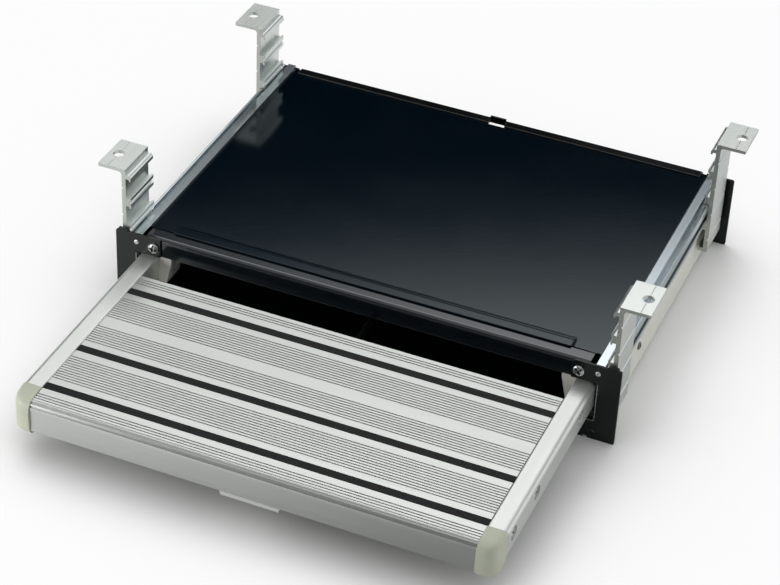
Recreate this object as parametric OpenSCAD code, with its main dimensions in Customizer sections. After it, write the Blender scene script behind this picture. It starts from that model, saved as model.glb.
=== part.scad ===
// Pull-out entrance step for a caravan: a grooved aluminium tread on two tube rails
// slides out of a flat steel housing that hangs from four adjustable brackets.
// Frame: origin at the centre of the four bracket holes on the flange tops,
// +X to the right of someone facing the step, +Y into the vehicle, +Z up. Millimetres.
// The step is drawn pulled out.

/* [Tread] */
// Width of the tread plank between its two rails
tread_w = 400; // [360:10:460]
// Depth of the tread plank from nose to back edge
tread_depth = 200.3; // [196:0.1:204]
// How far the nose stands out in front of the housing when the step is out
tread_reach = 228.6; // [226:0.1:236]
// How far the tread slides into the housing
travel = 200; // [170:5:203]
// Thickness of the tread skin
skin_t = 3; // [2.4:0.1:4]
// Radius of the rounded nose
nose_r = 8; // [6:0.5:10]
// Height of the front face, tread top to lower edge
face_h = 29.7; // [28:0.1:33]
// Wall of the front face
face_t = 2.6; // [2:0.1:3.2]
// Distance between neighbouring tread grooves
groove_pitch = 3.18; // [2.8:0.02:3.6]
// Width of a tread groove
groove_w = 1.2; // [0.8:0.1:1.6]
// Depth of a tread groove
groove_d = 0.8; // [0.5:0.1:1.2]
// Width of a rubber anti-slip strip
strip_w = 8.2; // [6:0.1:9]
// Depth of the channel that holds a strip
strip_d = 2; // [1.6:0.1:2.4]
// How far a strip stands above the tread
strip_proud = 0.6; // [0.4:0.1:1]

/* [Tread rails] */
// Width of a tread rail tube
rail_w = 18.2; // [17:0.1:20]
// Height of a tread rail tube
rail_h = 28.7; // [27:0.1:29.2]
// How far the rail stands above the tread surface
rail_proud = 0.7; // [0.3:0.1:1.2]
// Walls of the rail tube
rail_wall = 2; // [1.6:0.1:2.4]
// Outer wall of the rail tube
rail_outer_wall = 3; // [2.4:0.1:3.4]
// Radius of the rail's outer edges
rail_edge_r = 5; // [3:0.5:5.5]
// Length of the moulded end cap along the rail
cap_l = 24.5; // [22:0.5:28]
// How far the cap reaches below the tread top
cap_drop = 34.6; // [33.8:0.1:36]

/* [Housing] */
// Depth of the housing over its end plates
housing_depth = 336; // [330:1:360]
// Thickness of the end plates
plate_t = 2; // [1.5:0.1:2.5]
// Height of the front end plates above the tread top
plate_up = 21.5; // [21:0.1:24]
// Depth of the end plates below the tread top
plate_down = 57.5; // [54:0.5:62]
// Sheet thickness of the cross bars
bar_t = 1.5; // [1.2:0.1:2]
// Outer radius of the front bar's upper bend
bar_bend_r = 4; // [2.5:0.5:6]
// Height of the gap that the tread slides through under the front bar
bar_gap = 2.6; // [2:0.1:4]
// Depth of the front bar's top ledge
ledge_d = 13.8; // [12:0.1:15.5]
// Sheet thickness of the cover
cover_t = 1.2; // [1:0.1:1.5]
// Height of the cover above the tread top
cover_z = 17.4; // [16.8:0.1:18]
// Width of the raised strip along the cover's front
hem_d = 15.2; // [12:0.1:20]
// Height of the bottom pan's floor below the tread top
pan_drop = 42.8; // [41:0.1:46]
// Sheet thickness of the bottom pan
pan_t = 1.2; // [1:0.1:1.5]
// Sheet thickness of the side walls
wall_t = 1.7; // [1.2:0.1:1.9]

/* [Brackets] */
// Length of a bracket along the rail
bracket_l = 43; // [36:1:50]
// Gap between a rear bracket and the rear end plate
rear_bracket_gap = 9.6; // [1:0.1:20]
// Diameter of the bracket hole
bolt_d = 10.5; // [8.5:0.1:11]
// Width of the bracket's top flange, from the web's inner face
flange_w = 27; // [24:0.5:34]
// Distance of the hole from the flange's outer edge
hole_inset = 9.3; // [8:0.1:13]
// Thickness of the top flange
flange_t = 3.2; // [2.6:0.1:4]
// Thickness of the bracket's web
web_t = 4; // [3:0.1:5]
// Height step between the bracket's slots
slot_pitch = 28.5; // [27:0.1:31]
// Slot that hooks over the housing rail, counted from the top
hang_slot = 3; // [2:1:4]

/* [Release] */
// Width of the release grip
grip_w = 57; // [50:1:70]
// How far the grip hangs below the tread top
grip_drop = 41; // [39.5:0.1:41.5]
// How far the grip is pulled to free the latch
pull = 8; // [6:0.5:9]
// Diameter of the pull rod
rod_d = 6; // [5:0.1:6.4]

/* [Hidden] */
$fn = 48;

// Clearances: beside seated pieces, beside running pieces, round a fixed shank
fit = 0.2;
run = 0.4;
shank_gap = 0.1;

// Overlap that makes two shapes of one piece a single solid, and a cutter's excess
weld = 0.1;
over = 1;

// Bracket section, measured from the web's inner face and the flange top
slot_first = 20;
slot_count = 4;
slot_inner = 20.4;
slot_open = 16.4;
hook_d = 5;
hook_t = 1.8;
crown_r = 3.4;
foot_h = 3.6;
head_notch_r = 2.2;
flange_fillet = 3;
drill_line_d = 1.3;
mark_line_d = 0.35;
bracket_gap = 1.4;
bracket_h = slot_first + (slot_count - 1) * slot_pitch + slot_inner / 2 + foot_h;

// Housing rail section: it fills a bracket slot from its lower lip to its upper lip
side_rail_h = slot_inner - 2 * fit;
flange_over = 5.8;
side_flange_t = 2.5;
side_flange_rise = 1.4;
side_web_t = 2.2;
side_groove_w = 3.9;
side_lip_w = 2.9;
side_groove_d = 6;
side_shelf_t = 2.2;
side_lower_lip_h = 4.2;
side_foot_w = 1.7;
side_foot_z = 2;
side_foot_t = 2;
side_port_r = 3.4;
guide_room = 3.8;

// Heights: local zero is the tread top
side_lip_top_z = 18;
tread_z = -slot_first - (hang_slot - 1) * slot_pitch + slot_inner / 2 - fit - side_lip_top_z;
side_top_z = side_lip_top_z + side_flange_rise;
side_low_z = side_lip_top_z - side_rail_h;
side_shelf_z = side_low_z + side_lower_lip_h;
bar_top_z = plate_up - 0.5;
rail_bottom_z = rail_proud - rail_h;
guide_t = 2.7;
guide_run = 0.3;
run_z = rail_bottom_z - guide_run - guide_t;
rod_z = -22;
pivot_drop = 11;
pivot_z = rod_z - pivot_drop;

// Sideways places, right-hand side
rail_in_x = tread_w / 2;
rail_out_x = rail_in_x + rail_w;
web_in_x = rail_out_x + guide_room;
flange_in_x = web_in_x - flange_over;
web_out_x = web_in_x + side_web_t;
lip_in_x = web_out_x + side_groove_w;
lip_out_x = lip_in_x + side_lip_w;
wall_out_x = lip_in_x - 3.1;
wall_in_x = wall_out_x - wall_t;
bracket_x = lip_out_x + fit;
plate_in_x = rail_in_x - 4;
plate_out_x = bracket_x + web_t + 5.4;
cover_x = flange_in_x - fit;
bar_x = flange_in_x - 5.2;
port_x = flange_in_x + side_port_r + fit;
port_z = side_top_z - side_flange_t - side_port_r - fit;

// Fore and aft places: local zero is the front plate's front face
bolt_spacing_y = housing_depth - 2 * plate_t - bracket_gap - bracket_l - rear_bracket_gap;
plate_y = -bolt_spacing_y / 2 - bracket_l / 2 - bracket_gap - plate_t;
nose_y = -tread_reach;
cap_front = 2.2;
joint_y = nose_y + cap_l - cap_front;
bar_y = plate_t + bar_t;
rear_plate_y = housing_depth - plate_t;
buffer_t = 5.2;
buffer_r = 3.2;
buffer_x = rail_in_x + 3.4;
buffer_z = -14;
glide_l = 14;
glide_end_y = rear_plate_y - buffer_t - run - travel;
rail_end_y = glide_end_y - glide_l;
stop_y = bar_y + 0.3;
stop_l = 25;
stop_screw_z = -14;
member_l = 24;
member_t = 1.5;
member_y = rail_end_y - 2 - member_l;
pivot_y = member_y + member_l / 2;
wall_screw_y = 107;
wall_screw_z = run_z + 2.5;

// Tread pattern: distances from the nose
strip_at = [22.8, 80.2, tread_depth - 28.5];
port_at = [35.6, 89.4, tread_depth - 4.3];
rib_at = [60, 110, tread_depth - 40.3];
first_groove = 5.2;
last_groove = tread_depth - 4.9;
land = 8.3;
middle_land = 12.8;
middle_at = (strip_at[1] + strip_w + strip_at[2]) / 2 - 1.7;
row_ends = [
    [first_groove, strip_at[0] - land + 0.3],
    [strip_at[0] + strip_w + land, strip_at[1] - land],
    [strip_at[1] + strip_w + land, middle_at - middle_land / 2 + 0.1],
    [middle_at + middle_land / 2, strip_at[2] - land],
    [strip_at[2] + strip_w + land + 0.6, last_groove + 0.1]
];
function row_count(ends) = floor((ends[1] - ends[0]) / groove_pitch) + 1;
nose_groove_angles = [40, 64];
nose_groove_w = 1.7;
nose_groove_d = 1.1;
port_in = 10.6;
port_r = 2.1;
port_wall = 2.1;
rib_t = 2;
rib_h = 16;
rib_foot = 8;
lip_l = 9;
lip_t = 2.4;
strip_key = 0.6;
strip_bed = 2.4;

// Fasteners
bar_screw_d = 4.8;
bar_screw_head_d = 10.6;
bar_screw_head_h = 3.4;
bar_screw_x = rail_in_x + 2.6;
bar_screw_z = 11.5;
rear_screw_z = 8;
wall_screw_d = 3.8;
wall_screw_head_d = 7.6;
wall_screw_head_h = 2.2;
stop_screw_d = 4.2;
stop_screw_head_d = 8.6;
stop_screw_head_h = 2.8;
stop_screw_seat = 5;
tread_screw_d = 4;
tread_head_d = 9.6;
tread_head_h = 3;
tread_hole_d = 12.8;
tread_screw_l = 14;
rivet_d = 3.2;
member_rivet_y = [6, 18];
member_rivet_z = [-9, -21];

// Latch
pawl_t = 6;
pawl_r = 6;
pin_d = 5;
pin_run = 0.05;
fork_w = 9.2;
fork_l = 15;
fork_slot = 4.8;
cross_pin_d = 4;
pin_lead = pull / 2;
tooth_reach = 17;
tooth_l = 4;
tooth_clear = 1.6;
catch_t = 1;
tooth_drop = pan_drop + pivot_z - catch_t - tooth_clear;
pawl_belly = 2.5;
catch_rise = pan_drop + pivot_z - pawl_belly - 0.7;
catch_w = 16;
catch_ramp = 12;
catch_front_y = pivot_y + tooth_reach + run;
catch_back_y = pivot_y + tooth_reach - tooth_l - run + travel;
catch_rivet_y = [for (share = [0.35, 0.65]) catch_front_y + share * (catch_back_y - catch_front_y)];
pawl_cheek_x = 7;
pawl_cheek_t = 2;
pawl_cheek_r = 7;

// Pull rod and its spring
stud_d = 4;
guide_l = 12;
guide_w = 18;
guide_front_at = 42;
guide_rear_at = (rib_at[1] + rib_at[2] - guide_l) / 2;
collar_lead = 50;
collar_at = guide_rear_at + collar_lead;
collar_l = 4;
collar_r = 5.7;
tab_at = 37.5;
sheet_t = 1.5;
nut_h = 3.2;
clevis_w = 11;
clevis_h = 6;
spring_turns = 9;
spring_r = 5;
wire_d = 1.2;

// Places a piece drawn from the front plate face and tread top into the part's frame
module housed() translate([0, plate_y, tread_z]) children();

// Places a piece drawn from the nose and tread top
module on_tread() housed() translate([0, nose_y, 0]) children();

// Draws a piece made for the right-hand side on either side
module sided(s) mirror([s < 0 ? 1 : 0, 0, 0]) children();

// Carries a section drawn in (y, z) along X, centred
module along_x(l) translate([-l / 2, 0, 0]) rotate([90, 0, 90]) linear_extrude(l) children();

// Carries a section drawn in (x, z) along Y, from y to y + l
module along_y(y, l) translate([0, y + l, 0]) rotate([90, 0, 0]) linear_extrude(l) children();

// Rectangle by its two corners
module rect(x0, y0, x1, y1) translate([x0, y0]) square([x1 - x0, y1 - y0]);

// Box by its two corners
module box(a, b) translate(a) cube(b - a);

// Rectangle with four rounded corners
module round_rect(x0, y0, x1, y1, r) {
    rect(x0 + r, y0, x1 - r, y1);
    rect(x0, y0 + r, x1, y1 - r);
    for (x = [x0 + r, x1 - r], y = [y0 + r, y1 - r]) translate([x, y]) circle(r);
}

// Quarter of a bent sheet: ring sector of outer radius r in the quadrant that sx and sy name
module bend(r, t, sx, sy) intersection() {
    difference() {
        circle(r);
        circle(r - t);
    }
    reach = r + over;
    rect(min(0, sx * reach), min(0, sy * reach), max(0, sx * reach), max(0, sy * reach));
}

// Round bar along Y
module rod_y(y0, y1, r) translate([0, y0, 0]) rotate([-90, 0, 0]) cylinder(h = y1 - y0, r = r);

// Round bar along X
module rod_x(x0, x1, r) translate([x0, 0, 0]) rotate([0, 90, 0]) cylinder(h = x1 - x0, r = r);

// Pan-head cross-recess screw: head above z = 0, shank below
module pan_screw(d, head_d, head_h, l) {
    brim_h = head_h * 0.55;
    slot_l = head_d * 0.52;
    slot_w = head_d * 0.11;
    difference() {
        union() {
            cylinder(h = brim_h, r = head_d / 2);
            translate([0, 0, brim_h]) cylinder(h = head_h - brim_h, r1 = head_d / 2, r2 = head_d * 0.34);
        }
        for (a = [0, 90]) rotate(a)
            translate([-slot_l / 2, -slot_w / 2, head_h * 0.35]) cube([slot_l, slot_w, head_h]);
    }
    translate([0, 0, -l]) cylinder(h = l, r = d / 2);
}

// Dome-head rivet: head above z = 0, shank below
module rivet(d, l) {
    brim_h = d * 0.2;
    head_r = d * 0.8;
    cylinder(h = brim_h, r = head_r);
    translate([0, 0, brim_h]) cylinder(h = d * 0.25, r1 = head_r, r2 = head_r * 0.55);
    translate([0, 0, -l]) cylinder(h = l, r = d / 2);
}

// Housing

// Section of the extruded housing rail: flange, screw port, web, hook groove, two lips and foot
module side_rail_section() {
    under_z = side_top_z - side_flange_t;
    floor_z = side_lip_top_z - side_groove_d;
    difference() {
        union() {
            rect(flange_in_x, under_z, web_out_x, side_top_z);
            rect(web_in_x, side_shelf_z - side_shelf_t, web_out_x, side_top_z);
            rect(web_in_x, floor_z - side_shelf_t, lip_out_x, floor_z);
            rect(lip_in_x, floor_z - side_shelf_t, lip_out_x, side_lip_top_z - side_lip_w / 2);
            translate([lip_in_x + side_lip_w / 2, side_lip_top_z - side_lip_w / 2]) circle(side_lip_w / 2);
            rect(web_in_x, side_shelf_z - side_shelf_t, lip_out_x, side_shelf_z);
            rect(lip_in_x, side_low_z, lip_out_x, side_shelf_z);
            rect(flange_in_x - side_foot_w, side_foot_z, web_out_x, side_foot_z + side_foot_t);
            translate([port_x, port_z]) circle(side_port_r);
            rect(port_x, port_z + 2, web_out_x, under_z + weld);
        }
        translate([port_x, port_z]) circle(rivet_d / 2);
    }
}

module side_rail(s) color("#AEB8BC") housed() sided(s)
    along_y(plate_t, rear_plate_y - plate_t) side_rail_section();

// Lower side wall: sheet under the rail's lower shelf, with a bottom flange turned inwards
module side_wall(s) color("#D3D3C8") housed() sided(s) difference() {
    bend_r = 2.5;
    flange_l = 12;
    low_z = -plate_down + 3;
    along_y(plate_t, rear_plate_y - plate_t) {
        rect(wall_in_x, low_z + bend_r, wall_out_x, side_shelf_z - side_shelf_t - fit / 2);
        rect(wall_out_x - flange_l, low_z, wall_out_x - bend_r, low_z + wall_t);
        translate([wall_out_x - bend_r, low_z + bend_r]) bend(bend_r, wall_t, 1, -1);
    }
    translate([wall_in_x, wall_screw_y, wall_screw_z])
        rod_x(-over, wall_t + over, wall_screw_d / 2 + shank_gap);
}

// Pressed front bar: front wall, bent top ledge and a rear flange that sits on the cover
module front_crossbar() color("#15181A") housed() difference() {
    ledge_back = plate_t + ledge_d;
    along_x(2 * bar_x) {
        rect(plate_t, bar_gap, bar_y, bar_top_z - bar_bend_r);
        translate([plate_t + bar_bend_r, bar_top_z - bar_bend_r]) bend(bar_bend_r, bar_t, -1, 1);
        rect(plate_t + bar_bend_r, bar_top_z - bar_t, ledge_back, bar_top_z);
        rect(ledge_back - bar_t, cover_z, ledge_back, bar_top_z);
    }
    for (s = [-1, 1]) translate([s * bar_screw_x, 0, bar_screw_z])
        rod_y(0, bar_y + over, bar_screw_d / 2 + shank_gap);
}

// Slot in the rear bar and the cover, with a tab that was lanced from it and bent up
lance_x = 3;
lance_w = 16.4;
lance_l = 5.4;
lance_h = 6;
lance_front_y = rear_plate_y - lance_l - 6.5;
rear_bar_end_x = bar_x - 2;
rear_bar_d = 11;

// Pressed rear bar: a strip on the cover's back edge, turned down behind, with end tabs
module rear_crossbar() color("#15181A") housed() {
    bend_r = 2.5;
    lip_h = 5.2;
    top_z = cover_z + bar_t;
    tab_low_z = rear_screw_z - bar_screw_d;
    tab_r = 1;
    lance_back_y = lance_front_y + lance_l;
    difference() {
        union() {
            along_x(2 * rear_bar_end_x) {
                rect(rear_plate_y - rear_bar_d, cover_z, rear_plate_y - bend_r, top_z);
                translate([rear_plate_y - bend_r, top_z - bend_r]) bend(bend_r, bar_t, 1, 1);
                rect(rear_plate_y - bar_t, top_z - lip_h, rear_plate_y, top_z - bend_r);
            }
            for (s = [-1, 1]) sided(s) along_y(rear_plate_y - bar_t, bar_t)
                rect(plate_in_x, tab_low_z, rear_bar_end_x, top_z - bend_r);
        }
        translate([lance_x, 0, cover_z])
            box([-lance_w / 2, lance_front_y - over, -over], [lance_w / 2, lance_back_y, bar_t + over]);
        for (s = [-1, 1]) translate([s * bar_screw_x, 0, rear_screw_z])
            rod_y(rear_plate_y - bar_t - over, rear_plate_y + over, bar_screw_d / 2 + shank_gap);
    }
    translate([lance_x, 0, cover_z]) along_y(lance_back_y, bar_t) {
        rect(-lance_w / 2, 0, lance_w / 2, lance_h - tab_r);
        round_rect(-lance_w / 2, 0, lance_w / 2, lance_h, tab_r);
    }
}

// Cover sheet with turned-down sides, a raised strip along its front and the slot at its back
module cover_plate() color("#0F1B22") housed() {
    front = bar_y + fit;
    back = rear_plate_y - bar_t - 1.5;
    side_low = 9;
    hem_y = plate_t + ledge_d + 3.6;
    hem_h = 2.6;
    hem_end_x = rail_in_x - 11;
    fold = 0.8;
    difference() {
        along_y(front, back - front) {
            rect(-cover_x + cover_t, cover_z - cover_t, cover_x - cover_t, cover_z);
            for (s = [-1, 1]) mirror([s < 0 ? 1 : 0, 0]) {
                rect(cover_x - cover_t, side_low, cover_x, cover_z - cover_t);
                translate([cover_x - cover_t, cover_z - cover_t]) intersection() {
                    circle(cover_t);
                    square(cover_t);
                }
            }
        }
        translate([lance_x, lance_front_y, cover_z])
            box([-lance_w / 2, 0, -cover_t - over], [lance_w / 2, lance_l, over]);
    }
    along_x(2 * hem_end_x) difference() {
        polygon([
            [hem_y, cover_z - weld], [hem_y, cover_z + hem_h - 0.5], [hem_y + 0.5, cover_z + hem_h],
            [hem_y + hem_d - hem_h, cover_z + hem_h], [hem_y + hem_d, cover_z - weld]
        ]);
        translate([hem_y + 0.55 * hem_d, cover_z + hem_h]) rotate(45) square(fold, center = true);
    }
}

// Outline of a front end plate with the window that the tread rail runs through
module front_plate_outline() {
    window_low_z = run_z - 7;
    window_x = rail_out_x + 2.8;
    window_r = 2;
    tab_in = 2;
    tab_out = 2.6;
    tab_rise = 2.5;
    difference() {
        union() {
            round_rect(plate_in_x, -plate_down, plate_out_x, plate_up, 2);
            round_rect(bracket_x - tab_in, plate_up - 6, bracket_x + web_t + tab_out, plate_up + tab_rise, 1);
        }
        rect(plate_in_x - over, window_low_z + window_r, window_x, bar_gap);
        rect(plate_in_x - over, window_low_z, window_x - window_r, window_low_z + window_r + weld);
        translate([window_x - window_r, window_low_z + window_r]) circle(window_r);
        translate([rail_out_x - 4.4, -plate_down]) circle(2.4);
        translate([rail_out_x + 1.8, -plate_down + 7.8]) circle(2.5);
        translate([port_x, port_z]) circle(rivet_d / 2 + shank_gap);
        translate([bar_screw_x, bar_screw_z]) circle(bar_screw_d / 2 + shank_gap);
    }
}

module front_end_plate(s) color("#23282A") housed() sided(s) along_y(0, plate_t) front_plate_outline();

// Rear end plate: closed, with a half-round notch in its top edge beside the rear bar
module rear_end_plate(s) color("#23282A") housed() sided(s) along_y(rear_plate_y, plate_t) difference() {
    rear_up = cover_z - 1.4;
    round_rect(plate_in_x, -plate_down, plate_out_x, rear_up, 2);
    translate([rear_bar_end_x + 2.2, rear_up]) circle(2.2);
    translate([port_x, port_z]) circle(rivet_d / 2 + shank_gap);
    translate([bar_screw_x, rear_screw_z]) circle(bar_screw_d / 2 + shank_gap);
}

// One lip with a rounded tip, growing down from z by l
module lip(z, l) {
    rect(-hook_d, z - l + hook_t / 2, -hook_d + hook_t, z + weld);
    translate([-hook_d + hook_t / 2, z - l + hook_t / 2]) circle(hook_t / 2);
}

// Section of an extruded bracket: flange, web and hooked slots at an even pitch
module bracket_section() {
    lip_len = (slot_inner - slot_open) / 2;
    head_h = slot_pitch - slot_inner;
    crown_z = -slot_first + slot_inner / 2;
    difference() {
        union() {
            rect(0, -bracket_h, web_t, 0);
            rect(0, -flange_t, flange_w, 0);
            difference() {
                rect(web_t, -flange_t - flange_fillet, web_t + flange_fillet, -flange_t);
                translate([web_t + flange_fillet, -flange_t - flange_fillet]) circle(flange_fillet);
            }
            for (i = [0:slot_count - 1]) let (z = -slot_first - i * slot_pitch) {
                lip(z + slot_inner / 2, lip_len);
                mirror([0, 1]) lip(-z + slot_inner / 2, lip_len);
                if (i > 0) rect(-hook_d, z + slot_inner / 2, 0, z + slot_inner / 2 + head_h);
            }
            rect(-hook_d, crown_z, 0, crown_z + hook_d - 4.4);
            rect(-hook_d + crown_r, crown_z, 0, crown_z + crown_r + 0.6);
            translate([-hook_d + crown_r, crown_z + 0.6]) intersection() {
                circle(crown_r);
                rect(-crown_r - over, 0, weld, crown_r + over);
            }
            rect(-hook_d, -bracket_h, 0, -bracket_h + foot_h);
        }
        for (i = [0:slot_count - 1]) translate([web_t, -slot_first - i * slot_pitch]) rotate(45)
            square(drill_line_d * sqrt(2), center = true);
        for (i = [1:slot_count - 1]) translate([-hook_d, -slot_first - (i - 0.5) * slot_pitch])
            circle(head_notch_r);
        translate([flange_w - hole_inset, 0]) rotate(45) square(mark_line_d * sqrt(2), center = true);
    }
}

module bracket(s, y) color("#C3C9C6") sided(s) translate([bracket_x, y, 0]) difference() {
    along_y(-bracket_l / 2, bracket_l) bracket_section();
    translate([flange_w - hole_inset, 0, -flange_t - over]) cylinder(h = flange_t + 2 * over, r = bolt_d / 2);
}

module front_bar_screws() color("#9FA3A3") housed() for (s = [-1, 1])
    translate([s * bar_screw_x, 0, bar_screw_z]) rotate([90, 22, 0])
        pan_screw(bar_screw_d, bar_screw_head_d, bar_screw_head_h, bar_y + 2);

module rear_bar_screws() color("#9FA3A3") housed() for (s = [-1, 1])
    translate([s * bar_screw_x, housing_depth, rear_screw_z]) rotate([-90, 0, 0])
        pan_screw(bar_screw_d, bar_screw_head_d, bar_screw_head_h, plate_t + bar_t + 2);

module rail_rivets() color("#C9CCCB") housed() for (s = [-1, 1], rear = [0, 1])
    translate([s * port_x, rear * housing_depth, port_z]) rotate([90 - 180 * rear, 0, 0])
        rivet(rivet_d - shank_gap, plate_t + 8);

module wall_screws() color("#6E7170") housed() for (s = [-1, 1])
    sided(s) translate([wall_out_x, wall_screw_y, wall_screw_z]) rotate([0, 90, 0])
        pan_screw(wall_screw_d, wall_screw_head_d, wall_screw_head_h, wall_t + pan_t - fit);

// Nylon guide behind the plate window: it carries the rail from below and beside
module front_guide(s) color("#17191A") housed() sided(s) {
    guide_back = 28;
    key_in = 3;
    along_y(plate_t, guide_back - plate_t) {
        rect(rail_in_x + run, run_z, web_in_x - run, run_z + guide_t);
        rect(rail_out_x + run, run_z, web_in_x - run, side_foot_z - run);
    }
    along_y(run, plate_t - run + weld) rect(rail_in_x + key_in, run_z, rail_out_x - key_in, run_z + guide_t);
}

// Black pan: flat floor between raised ledges, edges turned up against the side walls
module bottom_pan() color("#101314") housed() difference() {
    step_in_x = rail_in_x + 1.5;
    step_out_x = step_in_x + pan_t;
    edge_up = 7;
    apron_h = 7;
    front = plate_t + fit;
    union() {
        along_y(front, rear_plate_y - fit - front) for (s = [0, 1]) mirror([s, 0]) {
            rect(-weld, -pan_drop - pan_t, step_out_x, -pan_drop);
            rect(step_in_x, -pan_drop - pan_t, step_out_x, run_z);
            rect(step_in_x, run_z - pan_t, wall_in_x, run_z);
            rect(wall_in_x - pan_t, run_z - pan_t, wall_in_x, run_z + edge_up);
        }
        along_x(2 * step_in_x) rect(front, -pan_drop - apron_h, front + pan_t, -pan_drop);
        for (s = [-1, 1]) sided(s)
            box([step_in_x - weld, front, -pan_drop - apron_h], [wall_in_x, front + pan_t, run_z]);
    }
    for (s = [-1, 1]) sided(s) translate([wall_in_x, wall_screw_y, wall_screw_z])
        rod_x(-pan_t - over, over, wall_screw_d / 2 + shank_gap);
    for (y = catch_rivet_y) translate([0, y, -pan_drop - pan_t - over])
        cylinder(h = pan_t + 2 * over, r = rivet_d / 2 + shank_gap);
}

// Spring-steel strip with both ends turned up as catches for the pawl
module catch_strip() color("#8B8F90") housed() translate([0, 0, -pan_drop]) difference() {
    flat_front_y = catch_front_y + catch_ramp;
    flat_back_y = catch_back_y - catch_ramp;
    tip_z = catch_rise - 1.2 * catch_t;
    along_x(catch_w) polygon([
        [flat_front_y, 0], [flat_back_y, 0], [catch_back_y, tip_z], [catch_back_y, catch_rise],
        [flat_back_y, catch_t], [flat_front_y, catch_t], [catch_front_y, catch_rise], [catch_front_y, tip_z]
    ]);
    for (y = catch_rivet_y) translate([0, y, -over])
        cylinder(h = catch_t + 2 * over, r = rivet_d / 2 + shank_gap);
}

module catch_rivets() color("#A7AAA9") housed() for (y = catch_rivet_y)
    translate([0, y, catch_t - pan_drop]) rivet(rivet_d, catch_t + pan_t);

// Rubber stops on the rear plates that meet the rear glides when the step is home
module rear_buffers() color("#1B1B1B") housed() for (s = [-1, 1])
    translate([s * buffer_x, rear_plate_y - buffer_t, buffer_z]) {
        tip = 1;
        rod_y(tip, buffer_t, buffer_r);
        translate([0, tip, 0]) rotate([90, 0, 0]) cylinder(h = tip, r1 = buffer_r, r2 = 0.75 * buffer_r);
    }

// Tread

// Grooves of the flat tread, as notches in the section
module groove_notches() for (ends = row_ends, i = [0:row_count(ends) - 1])
    let (y = ends[0] + i * groove_pitch) rect(y - groove_w / 2, -groove_d, y + groove_w / 2, over);

// Section of the tread extrusion, drawn in (distance from nose, height)
module tread_section() difference() {
    union() {
        translate([nose_r, -nose_r]) intersection() {
            circle(nose_r);
            rect(-nose_r - over, 0, 0, nose_r + over);
        }
        rect(nose_r, -skin_t, tread_depth, 0);
        rect(0, -face_h, face_t, -nose_r);
        rect(0, -face_h, lip_l, -face_h + lip_t);
        rect(tread_depth - lip_t, -rib_h, tread_depth, 0);
        rect(tread_depth - 7, -rib_h, tread_depth, -rib_h + rib_t);
        for (y = rib_at) {
            rect(y - rib_t / 2, -rib_h, y + rib_t / 2, -skin_t + weld);
            rect(y - rib_foot / 2, -rib_h, y + rib_foot / 2, -rib_h + rib_t);
        }
        for (y = strip_at)
            rect(y - strip_bed, -skin_t - strip_d, y + strip_w + strip_bed, -skin_t + weld);
        for (y = port_at) {
            translate([y, -port_in]) circle(port_r + port_wall);
            rect(y - port_wall / 2, -port_in, y + port_wall / 2, -skin_t + weld);
        }
    }
    translate([nose_r, -nose_r]) intersection() {
        circle(nose_r - face_t);
        rect(-nose_r, -over, over, nose_r - skin_t);
    }
    groove_notches();
    for (a = nose_groove_angles) translate([nose_r, -nose_r]) rotate(90 + a)
        rect(nose_r - nose_groove_d, -nose_groove_w / 2, nose_r + over, nose_groove_w / 2);
    for (y = strip_at) {
        rect(y, -strip_d, y + strip_w, over);
        rect(y - strip_key, -strip_d, y + strip_w + strip_key, -strip_d + strip_key + shank_gap);
    }
    for (y = port_at) translate([y, -port_in]) circle(port_r);
}

module tread_plate() color("#C2C4C0") on_tread() along_x(tread_w - 2 * fit) tread_section();

// Rubber strip keyed into its channel, with fine ridges along it
module anti_slip_strip(i) color("#141516") on_tread() translate([0, strip_at[i], 0])
    along_x(tread_w - 2 * fit) {
        gap = shank_gap / 2;
        ridges = 5;
        ridge_h = 0.3;
        pitch = (strip_w - 2 * gap) / ridges;
        rect(-strip_key + gap, -strip_d + gap, strip_w + strip_key - gap, -strip_d + strip_key);
        rect(gap, -strip_d + gap, strip_w - gap, strip_proud - ridge_h);
        for (k = [0:ridges - 1]) rect(gap + (k + 0.15) * pitch, 0, gap + (k + 0.85) * pitch, strip_proud);
    }

// Inner chamber of the rail tube, made smaller by a clearance for what plugs into it
rail_head_gap = 4.5;
rail_web_x = rail_out_x - rail_outer_wall - rail_head_gap;
module rail_chamber(gap) rect(
    rail_in_x + rail_wall + gap, rail_bottom_z + rail_wall + gap,
    rail_web_x - rail_wall - gap, rail_proud - rail_wall - gap
);

// Section of a tread rail: tube with rounded edges and an inner web that the screws clamp
module tread_rail_section() {
    inner_r = 1.5;
    lo = rail_bottom_z;
    hi = rail_proud;
    difference() {
        union() {
            rect(rail_in_x + inner_r, lo, rail_out_x - rail_edge_r, hi);
            rect(rail_in_x, lo + inner_r, rail_in_x + inner_r + weld, hi - inner_r);
            rect(rail_out_x - rail_edge_r - weld, lo + rail_edge_r, rail_out_x, hi - rail_edge_r);
            for (z = [lo + inner_r, hi - inner_r]) translate([rail_in_x + inner_r, z]) circle(inner_r);
            for (z = [lo + rail_edge_r, hi - rail_edge_r])
                translate([rail_out_x - rail_edge_r, z]) circle(rail_edge_r);
        }
        rail_chamber(0);
        rect(rail_web_x, lo + rail_edge_r, rail_out_x - rail_outer_wall, hi - rail_edge_r);
    }
}

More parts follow.
